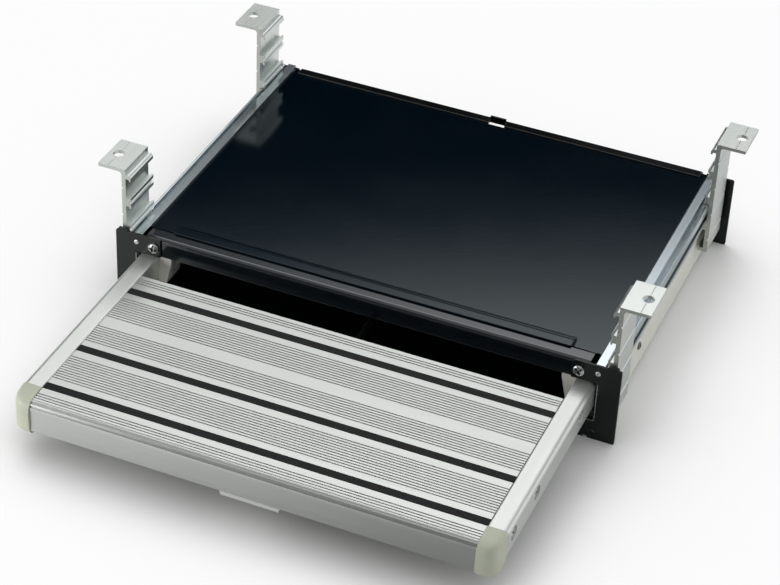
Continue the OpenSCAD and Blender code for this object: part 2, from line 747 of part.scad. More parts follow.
module tread_rail(s) color("#C9CAC5") on_tread() sided(s) difference() {
    along_y(joint_y - nose_y, rail_end_y - joint_y) tread_rail_section();
    for (y = port_at) translate([0, y, -port_in]) {
        rod_x(rail_in_x - over, rail_web_x + weld, tread_screw_d / 2 + shank_gap);
        rod_x(rail_web_x + weld, rail_out_x + over, tread_hole_d / 2);
    }
    translate([0, stop_y + stop_l / 2 - nose_y, stop_screw_z])
        rod_x(rail_in_x - over, rail_in_x + rail_wall + over, stop_screw_d / 2 + shank_gap);
    for (y = member_rivet_y, z = member_rivet_z) translate([0, member_y + y - nose_y, z])
        rod_x(rail_in_x - over, rail_in_x + rail_wall + over, rivet_d / 2 + shank_gap);
}

// Moulded corner cap: plan, side and front outlines carried through each other
module end_cap(s) color("#D5D3C0") on_tread() sided(s) {
    back = joint_y - nose_y;
    front = -cap_front;
    out = rail_out_x + fit;
    top = rail_proud + fit;
    corner_r = 16;
    brow_r = 13;
    chin_r = 9;
    edge_r = rail_edge_r + fit;
    toe_in = 3.2;
    toe_z = -face_h - 0.3;
    plug_l = 6;
    room = 100;
    intersection() {
        translate([0, 0, -room / 2]) linear_extrude(room) union() {
            rect(rail_in_x - toe_in, front, out - corner_r, back);
            rect(rail_in_x - toe_in, front + corner_r, out, back);
            translate([out - corner_r, front + corner_r]) circle(corner_r);
        }
        translate([rail_in_x, 0, 0]) along_x(room) union() {
            rect(front + brow_r, rail_bottom_z, back, top);
            rect(front, -cap_drop + chin_r, front + brow_r + weld, top - brow_r);
            rect(front + chin_r, -cap_drop, front + brow_r, -cap_drop + chin_r + weld);
            translate([front + brow_r, top - brow_r]) circle(brow_r);
            translate([front + chin_r, -cap_drop + chin_r]) circle(chin_r);
            polygon([
                [front + brow_r - weld, -cap_drop], [front + brow_r - weld, rail_bottom_z + weld],
                [back, rail_bottom_z + weld], [back, rail_bottom_z]
            ]);
        }
        along_y(front - over, back - front + over) union() {
            rect(rail_in_x, -cap_drop + edge_r, out, top - edge_r);
            rect(rail_in_x, -cap_drop - over, out - edge_r, top);
            for (z = [top - edge_r, -cap_drop + edge_r]) translate([out - edge_r, z]) circle(edge_r);
            rect(rail_in_x - toe_in + 2, -cap_drop, rail_in_x + weld, toe_z);
            translate([rail_in_x - toe_in + 2, toe_z - 2]) circle(2);
        }
    }
    along_y(back - weld, plug_l + weld) rail_chamber(fit);
}

// Screws through the rails into the tread's screw ports, their heads sunk behind the outer wall
module tread_screws() color("#8C8F90") on_tread() for (s = [-1, 1]) sided(s)
    for (y = port_at) translate([rail_web_x, y, -port_in]) rotate([0, 90, 0])
        pan_screw(tread_screw_d, tread_head_d, tread_head_h, rail_web_x - rail_in_x + tread_screw_l);

// Channel that ties the rear ends of the rails together and carries the latch
module rear_crossmember() color("#1A1D1E") housed() translate([0, member_y, 0]) {
    w = 2 * rail_in_x - 2 * fit;
    t = member_t;
    top = -3;
    front_low = -26;
    rear_low = -16;
    gate_w = 16;
    gate_top = rod_z + 6;
    difference() {
        union() {
            along_x(w) {
                rect(0, top - t, member_l, top);
                rect(0, front_low, t, top);
                rect(member_l - t, rear_low, member_l, top);
            }
            for (s = [-1, 1]) sided(s) box([w / 2 - t, 0, front_low], [w / 2, member_l, top]);
        }
        box([-gate_w / 2, -over, front_low - over], [gate_w / 2, t + over, gate_top]);
        for (s = [-1, 1], y = member_rivet_y, z = member_rivet_z) sided(s) translate([w / 2, y, z])
            rod_x(-t - over, over, rivet_d / 2 + shank_gap);
    }
}

module crossmember_rivets() color("#A7AAA9") housed() for (s = [-1, 1]) sided(s)
    for (y = member_rivet_y, z = member_rivet_z)
        translate([rail_in_x - fit - member_t, member_y + y, z]) rotate([0, -90, 0])
            rivet(rivet_d, rail_wall + 2 * fit + member_t);

// Nylon glide that plugs the rear end of a rail and runs between foot and ledge
module rear_glide(s) color("#E4E4DE") housed() sided(s) {
    plug_l = 12;
    along_y(rail_end_y, glide_l)
        round_rect(rail_in_x - run, run_z + guide_run, web_in_x - run, side_foot_z - guide_run, 2);
    along_y(rail_end_y - plug_l, plug_l + weld) rail_chamber(fit);
}

// Nylon stop on the rail's inner side that meets the front bar when the step is out
module stop_block(s) color("#EDEBE2") housed() sided(s) difference() {
    shoulder = 13;
    waist = 8;
    low_z = -26;
    top_z = 8;
    edge_r = 2;
    seat_z = rail_proud + fit;
    end_x = flange_in_x - side_foot_w - 0.7;
    along_y(stop_y, stop_l) {
        polygon([
            [rail_in_x - shoulder, seat_z + weld], [rail_in_x - shoulder, -3], [rail_in_x - waist, low_z],
            [rail_in_x, low_z], [rail_in_x, seat_z + weld]
        ]);
        round_rect(rail_in_x - shoulder, seat_z, end_x, top_z, edge_r);
        rect(rail_in_x - shoulder, seat_z, rail_in_x, seat_z + edge_r + weld);
    }
    translate([rail_in_x, stop_y + stop_l / 2, stop_screw_z]) {
        rod_x(-shoulder - over, over, stop_screw_d / 2 + shank_gap);
        rod_x(-shoulder - over, -stop_screw_seat, stop_screw_head_d / 2 + 0.3);
    }
}

module stop_screws() color("#9FA3A3") housed() for (s = [-1, 1]) sided(s)
    translate([rail_in_x - stop_screw_seat, stop_y + stop_l / 2, stop_screw_z]) rotate([0, -90, 0])
        pan_screw(stop_screw_d, stop_screw_head_d, stop_screw_head_h, stop_screw_seat + rail_wall + 3);

// Nylon saddle under the tread that the pull rod runs through
module rod_guide(at) color("#2A2D2E") on_tread() translate([0, at, 0]) difference() {
    collar = 3.5;
    along_y(0, guide_l) {
        rect(-guide_w / 2, rod_z, guide_w / 2, -skin_t);
        translate([0, rod_z]) circle(rod_d / 2 + collar);
    }
    translate([0, 0, rod_z]) rod_y(-over, guide_l + over, rod_d / 2 + shank_gap);
}

// Folded bracket under the crossmember that holds the pawl's pin
module pawl_bracket() color("#7E8283") housed() translate([0, pivot_y, 0]) difference() {
    top = -4.5;
    outer_x = pawl_cheek_x + pawl_cheek_t;
    union() {
        box([-outer_x, -pawl_cheek_r, top - pawl_cheek_t], [outer_x, pawl_cheek_r, top]);
        for (s = [-1, 1]) sided(s) {
            box([pawl_cheek_x, -pawl_cheek_r, pivot_z], [outer_x, pawl_cheek_r, top]);
            translate([0, 0, pivot_z]) rod_x(pawl_cheek_x, outer_x, pawl_cheek_r);
        }
    }
    translate([0, 0, pivot_z]) rod_x(-outer_x - over, outer_x + over, pin_d / 2 + pin_run);
}

// Pivot pin with a head on one end and a clip on the other
module pawl_pin() color("#B5B8B8") housed() translate([0, pivot_y, pivot_z]) {
    outer_x = pawl_cheek_x + pawl_cheek_t;
    head_h = 2;
    clip_t = 0.8;
    rod_x(-outer_x - head_h, outer_x + head_h, pin_d / 2);
    rod_x(-outer_x - fit - head_h, -outer_x - fit, pin_d / 2 + 1.5);
    difference() {
        rod_x(outer_x + fit, outer_x + fit + clip_t, pin_d / 2 + 1.8);
        box([outer_x, -pin_d, pin_d / 2 - 0.6], [outer_x + 2, pin_d, 2 * pin_d]);
    }
}

// Compression spring on the rod between the rear guide and the collar
spring_y0 = guide_rear_at + guide_l + wire_d / 2 + shank_gap;
spring_l = collar_at - guide_rear_at - guide_l - wire_d - 2 * shank_gap;
curl_rings = 8;
curl_step = 360 / curl_rings;
spring_rings = spring_turns * curl_rings;
spring_path = [for (i = [0:spring_rings]) [
    spring_r * cos(curl_step * i), spring_y0 + spring_l * i / spring_rings, spring_r * sin(curl_step * i)
]];
turn_steps = [for (i = [0:spring_rings - curl_rings]) norm(spring_path[i + curl_rings] - spring_path[i])];
spring_gap = min(turn_steps) - wire_d;
echo(str("return spring: least gap between turns ", spring_gap, " mm"));

module return_spring() color("#A4A8A9") on_tread() translate([0, 0, rod_z]) {
    sides = 6;
    points = [for (i = [0:spring_rings], k = [0:sides - 1]) let (
        radial = [cos(curl_step * i), 0, sin(curl_step * i)],
        a = 360 * k / sides
    ) spring_path[i] + wire_d / 2 * (cos(a) * radial + sin(a) * [0, 1, 0])];
    skin = [for (i = [0:spring_rings - 1], k = [0:sides - 1]) let (
        a = i * sides + k,
        b = i * sides + (k + 1) % sides
    ) each [[a, b, a + sides], [b, b + sides, a + sides]]];
    first = [for (k = [1:sides - 2]) [0, k + 1, k]];
    last_ring = spring_rings * sides;
    last = [for (k = [1:sides - 2]) [last_ring, last_ring + k, last_ring + k + 1]];
    polyhedron(points = points, faces = concat(skin, first, last));
}

// Release

// Bent sheet grip: rolled lower edge, front flange, arm under the nose and a tab for the rod
module release_grip() color("#B9BBB6") on_tread() {
    front = 6;
    arm_top = -face_h - 1;
    roll_r = 2.6;
    end_cut = 3;
    tab_w = 22;
    tab_up = 5.5;
    intersection() {
        along_x(grip_w) {
            rect(front, -grip_drop + roll_r, front + sheet_t, arm_top);
            rect(front, arm_top - sheet_t, tab_at + sheet_t, arm_top);
            translate([front + roll_r, -grip_drop + roll_r]) difference() {
                circle(roll_r);
                circle(roll_r - sheet_t);
                rect(0, 0, 2 * roll_r, 2 * roll_r);
            }
        }
        along_y(0, tab_at + 10) polygon([
            [-grip_w / 2, 0], [-grip_w / 2, arm_top - sheet_t], [-grip_w / 2 + end_cut, -grip_drop],
            [grip_w / 2 - end_cut, -grip_drop], [grip_w / 2, arm_top - sheet_t], [grip_w / 2, 0]
        ]);
    }
    difference() {
        along_y(tab_at, sheet_t) {
            rect(-tab_w / 2, arm_top - sheet_t, tab_w / 2, rod_z + tab_up - 2.5);
            round_rect(-tab_w / 2, rod_z - 3, tab_w / 2, rod_z + tab_up, 2.5);
        }
        translate([0, 0, rod_z]) rod_y(tab_at - over, tab_at + sheet_t + over, stud_d / 2 + pin_run);
    }
}

// Rod from the grip to the latch: a stepped stud in front, a forked end with a cross pin behind
module pull_rod() color("#202426") housed() {
    shoulder_y = nose_y + tab_at + sheet_t;
    stud_l = sheet_t + nut_h + 1.8;
    clevis_y = pivot_y - 18.4;
    pin_y = pivot_y + pin_lead;
    translate([0, 0, rod_z]) {
        rod_y(shoulder_y - stud_l, shoulder_y + weld, stud_d / 2);
        rod_y(shoulder_y, clevis_y + over, rod_d / 2);
        difference() {
            box([-clevis_w / 2, clevis_y, -clevis_h / 2], [clevis_w / 2, pin_y + 3.6, clevis_h / 2]);
            box([-pawl_t / 2 - run, clevis_y + 5, -clevis_h], [pawl_t / 2 + run, pin_y + 5, clevis_h]);
        }
        translate([0, pin_y, 0]) rod_x(-clevis_w / 2 + 0.5, clevis_w / 2 - 0.5, cross_pin_d / 2);
    }
}

module rod_collar() color("#8C8F90") on_tread() translate([0, 0, rod_z]) difference() {
    rod_y(collar_at, collar_at + collar_l, collar_r);
    rod_y(collar_at - over, collar_at + collar_l + over, rod_d / 2);
}

module rod_nut() color("#9FA3A3") on_tread() translate([0, 0, rod_z]) difference() {
    across_flats = 7;
    translate([0, tab_at - nut_h, 0]) rotate([-90, 0, 0])
        cylinder(h = nut_h, r = across_flats / sqrt(3), $fn = 6);
    rod_y(tab_at - nut_h - over, tab_at + over, stud_d / 2);
}

// Pawl: fork above the pivot, tooth behind and below it
module latch_pawl() color("#6D7172") housed() translate([0, pivot_y, pivot_z]) along_x(pawl_t) {
    lean = atan(pin_lead / pivot_drop);
    back_h = 5;
    difference() {
        union() {
            circle(pawl_r);
            rotate(-lean) rect(-fork_w / 2, 0, fork_w / 2, fork_l);
            polygon([
                [0, -pawl_belly], [tooth_reach, -pawl_belly], [tooth_reach, 0], [4, back_h], [0, back_h]
            ]);
            rect(tooth_reach - tooth_l, -tooth_drop, tooth_reach, -pawl_belly + weld);
        }
        circle(pin_d / 2 + pin_run);
        rotate(-lean) rect(-fork_slot / 2, pawl_r + 2, fork_slot / 2, fork_l + over);
    }
}

cover_plate();
side_rail(-1);  // side_rail_left
side_rail(1);  // side_rail_right
side_wall(-1);  // side_wall_left
side_wall(1);  // side_wall_right
front_crossbar();
rear_crossbar();
front_end_plate(-1);  // front_end_plate_left
front_end_plate(1);  // front_end_plate_right
rear_end_plate(-1);  // rear_end_plate_left
rear_end_plate(1);  // rear_end_plate_right
bracket(-1, -bolt_spacing_y / 2);  // bracket_front_left
bracket(1, -bolt_spacing_y / 2);  // bracket_front_right
bracket(-1, bolt_spacing_y / 2);  // bracket_rear_left
bracket(1, bolt_spacing_y / 2);  // bracket_rear_right
front_bar_screws();
rear_bar_screws();
rail_rivets();
wall_screws();
front_guide(-1);  // front_guide_left
front_guide(1);  // front_guide_right
bottom_pan();
catch_strip();
catch_rivets();
rear_buffers();
tread_plate();
anti_slip_strip(0);  // anti_slip_strip_front
anti_slip_strip(1);  // anti_slip_strip_middle
anti_slip_strip(2);  // anti_slip_strip_rear
tread_rail(-1);  // tread_rail_left
tread_rail(1);  // tread_rail_right
end_cap(-1);  // end_cap_left
end_cap(1);  // end_cap_right
tread_screws();
rear_crossmember();
crossmember_rivets();
rear_glide(-1);  // rear_glide_left
rear_glide(1);  // rear_glide_right
stop_block(-1);  // stop_block_left
stop_block(1);  // stop_block_right
stop_screws();
rod_guide(guide_front_at);  // rod_guide_front
rod_guide(guide_rear_at);  // rod_guide_rear
pawl_bracket();
pawl_pin();
return_spring();
release_grip();
pull_rod();
rod_collar();
rod_nut();
latch_pawl();
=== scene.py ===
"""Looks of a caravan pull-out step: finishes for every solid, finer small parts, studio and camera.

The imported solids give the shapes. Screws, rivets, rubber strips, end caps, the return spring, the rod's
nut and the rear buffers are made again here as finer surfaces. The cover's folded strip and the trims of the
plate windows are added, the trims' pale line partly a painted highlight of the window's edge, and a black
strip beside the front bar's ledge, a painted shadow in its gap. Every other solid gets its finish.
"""

import logging
import math
from dataclasses import dataclass, replace
from enum import Enum

import bpy
import numpy as np
from mathutils import Matrix, Vector


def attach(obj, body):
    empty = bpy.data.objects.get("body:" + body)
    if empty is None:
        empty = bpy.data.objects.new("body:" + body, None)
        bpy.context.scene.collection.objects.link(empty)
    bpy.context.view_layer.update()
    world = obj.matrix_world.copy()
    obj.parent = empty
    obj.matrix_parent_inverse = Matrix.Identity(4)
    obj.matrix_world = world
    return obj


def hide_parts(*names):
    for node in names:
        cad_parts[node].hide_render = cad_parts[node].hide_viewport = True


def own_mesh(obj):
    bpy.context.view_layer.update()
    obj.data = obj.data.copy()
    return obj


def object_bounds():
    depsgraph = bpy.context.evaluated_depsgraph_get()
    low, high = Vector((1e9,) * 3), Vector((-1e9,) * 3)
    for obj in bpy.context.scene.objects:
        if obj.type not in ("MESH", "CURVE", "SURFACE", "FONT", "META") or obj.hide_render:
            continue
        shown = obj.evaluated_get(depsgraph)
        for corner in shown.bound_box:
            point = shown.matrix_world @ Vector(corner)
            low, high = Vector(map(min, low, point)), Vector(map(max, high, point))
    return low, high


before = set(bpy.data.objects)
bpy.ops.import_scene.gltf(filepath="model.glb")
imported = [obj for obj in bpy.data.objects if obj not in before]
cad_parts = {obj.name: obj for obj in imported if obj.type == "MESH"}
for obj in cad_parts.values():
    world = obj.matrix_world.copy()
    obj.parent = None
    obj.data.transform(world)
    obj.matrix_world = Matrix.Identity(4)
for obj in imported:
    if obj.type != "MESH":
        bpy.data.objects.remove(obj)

LOG = logging.getLogger("step")
MM = 0.001
CAD_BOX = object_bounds()

Colour = tuple[float, float, float, float]
Point = tuple[float, float, float]
Span = tuple[float, float]
Shell = tuple[np.ndarray, list]
Tree = bpy.types.NodeTree
Socket = bpy.types.NodeSocket
Tint = Colour | Socket

# Settings that several shader nodes share.
COLOUR_MIX = {"data_type": "RGBA"}
NUMBER_MIX = {"data_type": "FLOAT"}
SMOOTH_STEP = {"interpolation_type": "SMOOTHSTEP"}
DOT = {"operation": "DOT_PRODUCT"}
TIMES = {"operation": "MULTIPLY"}
TIMES_PLUS = {"operation": "MULTIPLY_ADD"}
LARGER = {"operation": "MAXIMUM"}
# Almost all of a noise texture's values lie in this range.
NOISE_SPAN: Span = (0.3, 0.7)
WHITE = "#FFFFFF"


class Run(Enum):
    """Direction that an extrusion was drawn in, as a unit vector of the part's frame."""

    ACROSS = (1.0, 0.0, 0.0)
    FORE_AFT = (0.0, 1.0, 0.0)


class Side(Enum):
    """Side of the step as seen by someone facing it, with the sign of X there."""

    LEFT = -1
    RIGHT = 1


def linear(code: str) -> Colour:
    """Turn an sRGB hex colour into linear light.

    Args:
        code: Colour such as "#C8CAC5".

    Returns:
        Red, green, blue and an alpha of 1, for a shader socket.
    """
    srgb = np.array([int(code[i : i + 2], 16) for i in (1, 3, 5)]) / 255.0
    light = np.where(srgb <= 0.04045, srgb / 12.92, ((srgb + 0.055) / 1.055) ** 2.4)
    return (*light.tolist(), 1.0)


def add_node(
    tree: Tree, kind: str, settings: dict | None = None, inputs: dict | tuple = ()
) -> bpy.types.Node:
    """Add one shader node with its settings and links.

    Args:
        tree: Node tree that takes the node.
        kind: Blender's name of the node type, after the word ShaderNode.
        settings: Attributes to set on the node.
        inputs: Values in the order of the sockets, or by socket name or index. An output socket is linked.

    Returns:
        The new node.
    """
    made = tree.nodes.new(f"ShaderNode{kind}")
    for name, value in (settings or {}).items():
        setattr(made, name, value)
    named = inputs if isinstance(inputs, dict) else dict(enumerate(inputs))
    for key, value in named.items():
        if isinstance(value, Socket):
            tree.links.new(value, made.inputs[key])
        else:
            made.inputs[key].default_value = value
    return made


@dataclass(frozen=True)
class Finish:
    """What one real material gives the eye; each kind of finish below adds its own pattern.

    Attributes:
        name: The material's common name.
        slot: Material slot of the record that it belongs to; not used here.
        colour: Its colour as sRGB hex.
        shade: Colour of its darker traces.
        roughness: Middle roughness of the surface.
        edge_mm: Radius of the broken edges of a piece.
    """

    name: str
    slot: str
    colour: str
    shade: str
    roughness: float
    edge_mm: float

    def material(self) -> bpy.types.Material:
        """Make the material of this finish once.

        Returns:
            The material.
        """
        made = bpy.data.materials.get(self.name)
        if made is None:
            made = bpy.data.materials.new(self.name)
            made.use_nodes = True
            made.diffuse_color = linear(self.colour)
            self.shader(made.node_tree)
        return made

    def shader(self, tree: Tree) -> None:
        """Fill a material's tree; each kind of finish has its own.

        Args:
            tree: Node tree of the material.
        """
        raise NotImplementedError

    def grain(self, tree: Tree, size_mm: Point, detail: float) -> Socket:
        """Add noise whose grains have a real size.

        Args:
            tree: Node tree to add to.
            size_mm: Size of one grain along X, Y and Z.
            detail: How many finer layers the noise has.

        Returns:
            The noise value's socket.
        """
        place = add_node(tree, "TexCoord").outputs["Object"]
        scale = tuple(1.0 / (size * MM) for size in size_mm)
        scaled = add_node(tree, "Mapping", inputs={"Vector": place, "Scale": scale}).outputs[0]
        noise = add_node(tree, "TexNoise", inputs={"Vector": scaled, "Scale": 1.0, "Detail": detail})
        return noise.outputs[0]

    def varied(self, tree: Tree, noise: Socket, most: float, first: Tint, second: Tint) -> Socket:
        """Let noise mix two colours.

        Args:
            tree: Node tree to add to.
            noise: The noise value.
            most: Largest share of the second colour.
            first: Colour where the noise is low.
            second: Colour where the noise is high.

        Returns:
            The mixed colour's socket.
        """
        share = add_node(tree, "MapRange", None, (noise, *NOISE_SPAN, 0.0, most)).outputs[0]
        return add_node(tree, "Mix", COLOUR_MIX, {0: share, 6: first, 7: second}).outputs[2]

    def broken_edge(self, tree: Tree) -> tuple[Socket, Socket]:
        """Round the edges in the shading, as a broken edge is.

        An edge shows where the rounded normal leaves the true one: the cosine between them falls from
        that of a flat to that of an edge.

        Args:
            tree: Node tree to add to.

        Returns:
            The rounded normal, and a value that is 1 on an edge and 0 on a flat.
        """
        flat_cos, edge_cos = 0.98, 0.8
        rounded = add_node(tree, "Bevel", {"samples": 6}, {"Radius": self.edge_mm * MM}).outputs[0]
        true = add_node(tree, "NewGeometry").outputs["True Normal"]
        cosine = add_node(tree, "VectorMath", DOT, (rounded, true)).outputs["Value"]
        edge = add_node(tree, "MapRange", None, (cosine, flat_cos, edge_cos, 0.0, 1.0))
        return rounded, edge.outputs[0]

    def surface(
        self, tree: Tree, colour: Socket, roughness: Socket, height: Socket, depth_mm: float, normal: Socket
    ) -> bpy.types.Node:
        """Feed the material's main shader, with a relief of a real depth.

        Args:
            tree: Node tree to add to.
            colour: Colour of the surface.
            roughness: Roughness of the surface.
            height: Height of the relief, from 0 to 1.
            depth_mm: Depth of the relief.
            normal: Normal under the relief.

        Returns:
            The main shader.
        """
        heights = {"Strength": 1.0, "Distance": depth_mm * MM, "Height": height, "Normal": normal}
        relief = add_node(tree, "Bump", inputs=heights).outputs[0]
        main = tree.nodes["Principled BSDF"]
        for name, socket in (("Base Color", colour), ("Roughness", roughness), ("Normal", relief)):
            tree.links.new(socket, main.inputs[name])
        return main


@dataclass(frozen=True)
class DrawnAluminium(Finish):
    """Extruded aluminium: die lines along the draw, a faint cloud in the brightness, sawn ends.

    Attributes:
        run: Direction of the die lines.
        metallic: Share of bare metal; an anodised skin scatters some light as well.
        end_colour: Colour of a freshly sawn end.
        line_mm: Width of a die line, drawn coarser than the real 0.1 mm so that it shows.
        line_depth_mm: Depth of a die line.
        line_length_mm: Length of a die line.
        gloss: How far the roughness differs from line to line.
        cloud_mm: Size of the paler and darker areas.
        cloud_share: Share of the shade in the darkest areas.
        saw_mm: Size of a saw mark.
        saw_share: Share of the shade in the saw marks.
        end_cos: Cosine to the draw from which a face counts as an end.
        end_dull: How much rougher an end is.
    """

    run: Run = Run.ACROSS
    metallic: float = 1.0
    end_colour: str = "#DADAD2"
    line_mm: float = 0.5
    line_depth_mm: float = 0.004
    line_length_mm: float = 160.0
    gloss: float = 0.06
    cloud_mm: float = 45.0
    cloud_share: float = 0.35
    saw_mm: Point = (9.0, 9.0, 0.6)
    saw_share: float = 0.5
    end_cos: float = 0.9
    end_dull: float = 0.16

    def shader(self, tree: Tree) -> None:
        """Die lines tint the colour and roughness; ends that face along the draw show saw marks.

        Args:
            tree: Node tree of the material.
        """
        pale, dark, bare = linear(self.colour), linear(self.shade), linear(self.end_colour)
        line = tuple(self.line_length_mm if along else self.line_mm for along in self.run.value)
        lines = self.grain(tree, line, 3.0)
        drawn = self.varied(tree, lines, 1.0, dark, pale)
        cloud = self.grain(tree, (self.cloud_mm,) * 3, 2.0)
        clouded = self.varied(tree, cloud, self.cloud_share, drawn, dark)
        sawn = self.varied(tree, self.grain(tree, self.saw_mm, 2.0), self.saw_share, bare, dark)
        true = add_node(tree, "NewGeometry").outputs["True Normal"]
        cosine = add_node(tree, "VectorMath", DOT, (true, self.run.value)).outputs["Value"]
        either = add_node(tree, "Math", {"operation": "ABSOLUTE"}, (cosine,)).outputs[0]
        end = add_node(tree, "Math", {"operation": "GREATER_THAN"}, (either, self.end_cos)).outputs[0]
        normal, edge = self.broken_edge(tree)
        skin = add_node(tree, "Mix", COLOUR_MIX, {0: end, 6: clouded, 7: sawn}).outputs[2]
        worn = add_node(tree, "Mix", COLOUR_MIX, {0: edge, 6: skin, 7: bare}).outputs[2]
        low, high = self.roughness - self.gloss, self.roughness + self.gloss
        gloss = add_node(tree, "MapRange", None, (lines, *NOISE_SPAN, low, high)).outputs[0]
        dulled = add_node(tree, "Math", TIMES_PLUS, (end, self.end_dull, gloss)).outputs[0]
        main = self.surface(tree, worn, dulled, lines, self.line_depth_mm, normal)
        main.inputs["Metallic"].default_value = self.metallic


@dataclass(frozen=True)
class CoatedSteel(Finish):
    """Powder-coated or stoved steel sheet: fine orange peel, dust in the sheen, paler edges of thin paint, on
    the bars also a painted highlight.

    Attributes:
        edge_colour: Colour of the edges, where the coat is thin; on the bars also a painted highlight line.
        peel_mm: Width of one dimple of the orange peel.
        peel_depth_mm: Depth of the orange peel.
        coat: Weight of a clear gloss layer.
        coat_roughness: Roughness of that layer.
        haze_mm: Size of the areas where handling has dulled the sheen.
        haze: How far the roughness differs there.
        sheen_tint: Colour of the mirrored light.
    """

    edge_colour: str = "#3A4042"
    peel_mm: float = 1.1
    peel_depth_mm: float = 0.012
    coat: float = 0.0
    coat_roughness: float = 0.06
    haze_mm: float = 70.0
    haze: float = 0.04
    sheen_tint: str = WHITE

    def shader(self, tree: Tree) -> None:
        """Orange peel as bump, haze in the roughness, a paler line on the edges: worn coat, on the bars also
        a painted highlight.

        Args:
            tree: Node tree of the material.
        """
        peel = self.grain(tree, (self.peel_mm,) * 3, 1.0)
        haze = self.grain(tree, (self.haze_mm,) * 3, 3.0)
        normal, edge = self.broken_edge(tree)
        toned = self.varied(tree, haze, 1.0, linear(self.colour), linear(self.shade))
        # Paler edges: worn coat, and on the bars also a painted highlight line.
        worn = add_node(tree, "Mix", COLOUR_MIX, {0: edge, 6: toned, 7: linear(self.edge_colour)}).outputs[2]
        low, high = self.roughness - self.haze, self.roughness + self.haze
        gloss = add_node(tree, "MapRange", None, (haze, *NOISE_SPAN, low, high)).outputs[0]
        main = self.surface(tree, worn, gloss, peel, self.peel_depth_mm, normal)
        main.inputs["Specular Tint"].default_value = linear(self.sheen_tint)
        main.inputs["Coat Weight"].default_value = self.coat
        main.inputs["Coat Roughness"].default_value = self.coat_roughness


@dataclass(frozen=True)
class PlatedSteel(Finish):
    """Zinc-plated or bare steel: metal with a fine mottled crystal pattern and brighter edges.

    Attributes:
        edge_colour: Colour of rubbed edges.
        metallic: Share of bare metal; a chalky zinc skin scatters some light.
        mottle_mm: Size of one patch of the mottle.
        mottle_depth_mm: Depth of the mottle.
        gloss: How far the roughness falls and rises in the mottle.
        recess_shade_mm: Reach within which the piece's own recesses get painted shade; 0 paints none.
        recess_shade: Colour of that painted shade.
        recess_shade_open: Shares of open space round a point, from full painted shade to none.
    """

    edge_colour: str = "#E4E5E2"
    metallic: float = 1.0
    mottle_mm: float = 2.4
    mottle_depth_mm: float = 0.006
    gloss: Span = (-0.05, 0.07)
    recess_shade_mm: float = 0.0
    recess_shade: str = "#0C0D0D"
    recess_shade_open: Span = (0.5, 0.85)

    def shader(self, tree: Tree) -> None:
        """Mottle in colour and roughness, with rubbed edges and dark recesses.

        Args:
            tree: Node tree of the material.
        """
        mottle = self.grain(tree, (self.mottle_mm,) * 3, 3.0)
        normal, edge = self.broken_edge(tree)
        toned = self.varied(tree, mottle, 1.0, linear(self.shade), linear(self.colour))
        worn = add_node(tree, "Mix", COLOUR_MIX, {0: edge, 6: toned, 7: linear(self.edge_colour)}).outputs[2]
        # Painted shade: recesses are darkened by how closed in they are, not by the light.
        if self.recess_shade_mm > 0:
            worn = self.painted_recess_shade(tree, worn)
        low, high = (self.roughness + change for change in self.gloss)
        gloss = add_node(tree, "MapRange", None, (mottle, *NOISE_SPAN, low, high)).outputs[0]
        main = self.surface(tree, worn, gloss, mottle, self.mottle_depth_mm, normal)
        main.inputs["Metallic"].default_value = self.metallic

    def painted_recess_shade(self, tree: Tree, clean: Socket) -> Socket:
        """Paint shade into a colour where the piece itself shuts out the light, as in a screw's cross.

        Args:
            tree: Node tree to add to.
            clean: Colour of the open surface.

        Returns:
            The colour with painted shade in its recesses.
        """
        near = {"only_local": True, "samples": 8}
        space = add_node(tree, "AmbientOcclusion", near, {"Distance": self.recess_shade_mm * MM}).outputs["AO"]
        clear = add_node(tree, "MapRange", None, (space, *self.recess_shade_open, 0.0, 1.0)).outputs[0]
        return add_node(tree, "Mix", COLOUR_MIX, {0: clear, 6: linear(self.recess_shade), 7: clean}).outputs[2]


@dataclass(frozen=True)
class MouldedPlastic(Finish):
    """Moulded plastic or rubber: fine spark-eroded grain, slow colour drift, soft edges.

    Attributes:
        grain_mm: Width of one dimple of the moulded grain.
        grain_depth_mm: Depth of the grain.
        ior: Index of refraction.
        glow: Share of light that passes a little way under the skin.
        glow_mm: How far it passes.
        drift_mm: Size of the areas of slightly different colour.
        drift_share: Share of the shade in the darkest areas.
        gloss: How far the roughness differs there.
    """

    grain_mm: float = 0.8
    grain_depth_mm: float = 0.01
    ior: float = 1.5
    glow: float = 0.0
    glow_mm: float = 1.5
    drift_mm: float = 18.0
    drift_share: float = 0.6
    gloss: float = 0.05

    def shader(self, tree: Tree) -> None:
        """Grain as bump, a slow drift in the colour and the roughness.

        Args:
            tree: Node tree of the material.
        """
        grain = self.grain(tree, (self.grain_mm,) * 3, 2.0)
        drift = self.grain(tree, (self.drift_mm,) * 3, 2.0)
        normal = self.broken_edge(tree)[0]
        toned = self.varied(tree, drift, self.drift_share, linear(self.colour), linear(self.shade))
        low, high = self.roughness - self.gloss, self.roughness + self.gloss
        gloss = add_node(tree, "MapRange", None, (drift, *NOISE_SPAN, low, high)).outputs[0]
        main = self.surface(tree, toned, gloss, grain, self.grain_depth_mm, normal)
        main.inputs["IOR"].default_value = self.ior
        main.inputs["Subsurface Weight"].default_value = self.glow
        main.inputs["Subsurface Scale"].default_value = self.glow_mm * MM


# Anodised 6063: a grey silk skin that mirrors the room softly, with lines that run across the step.
TREAD_ALUMINIUM = DrawnAluminium(
    "anodised aluminium, drawn across", "anodised_aluminium", "#CBCECB", "#C1C4C1",
    roughness=0.34, edge_mm=0.25, run=Run.ACROSS, line_depth_mm=0.002,
)
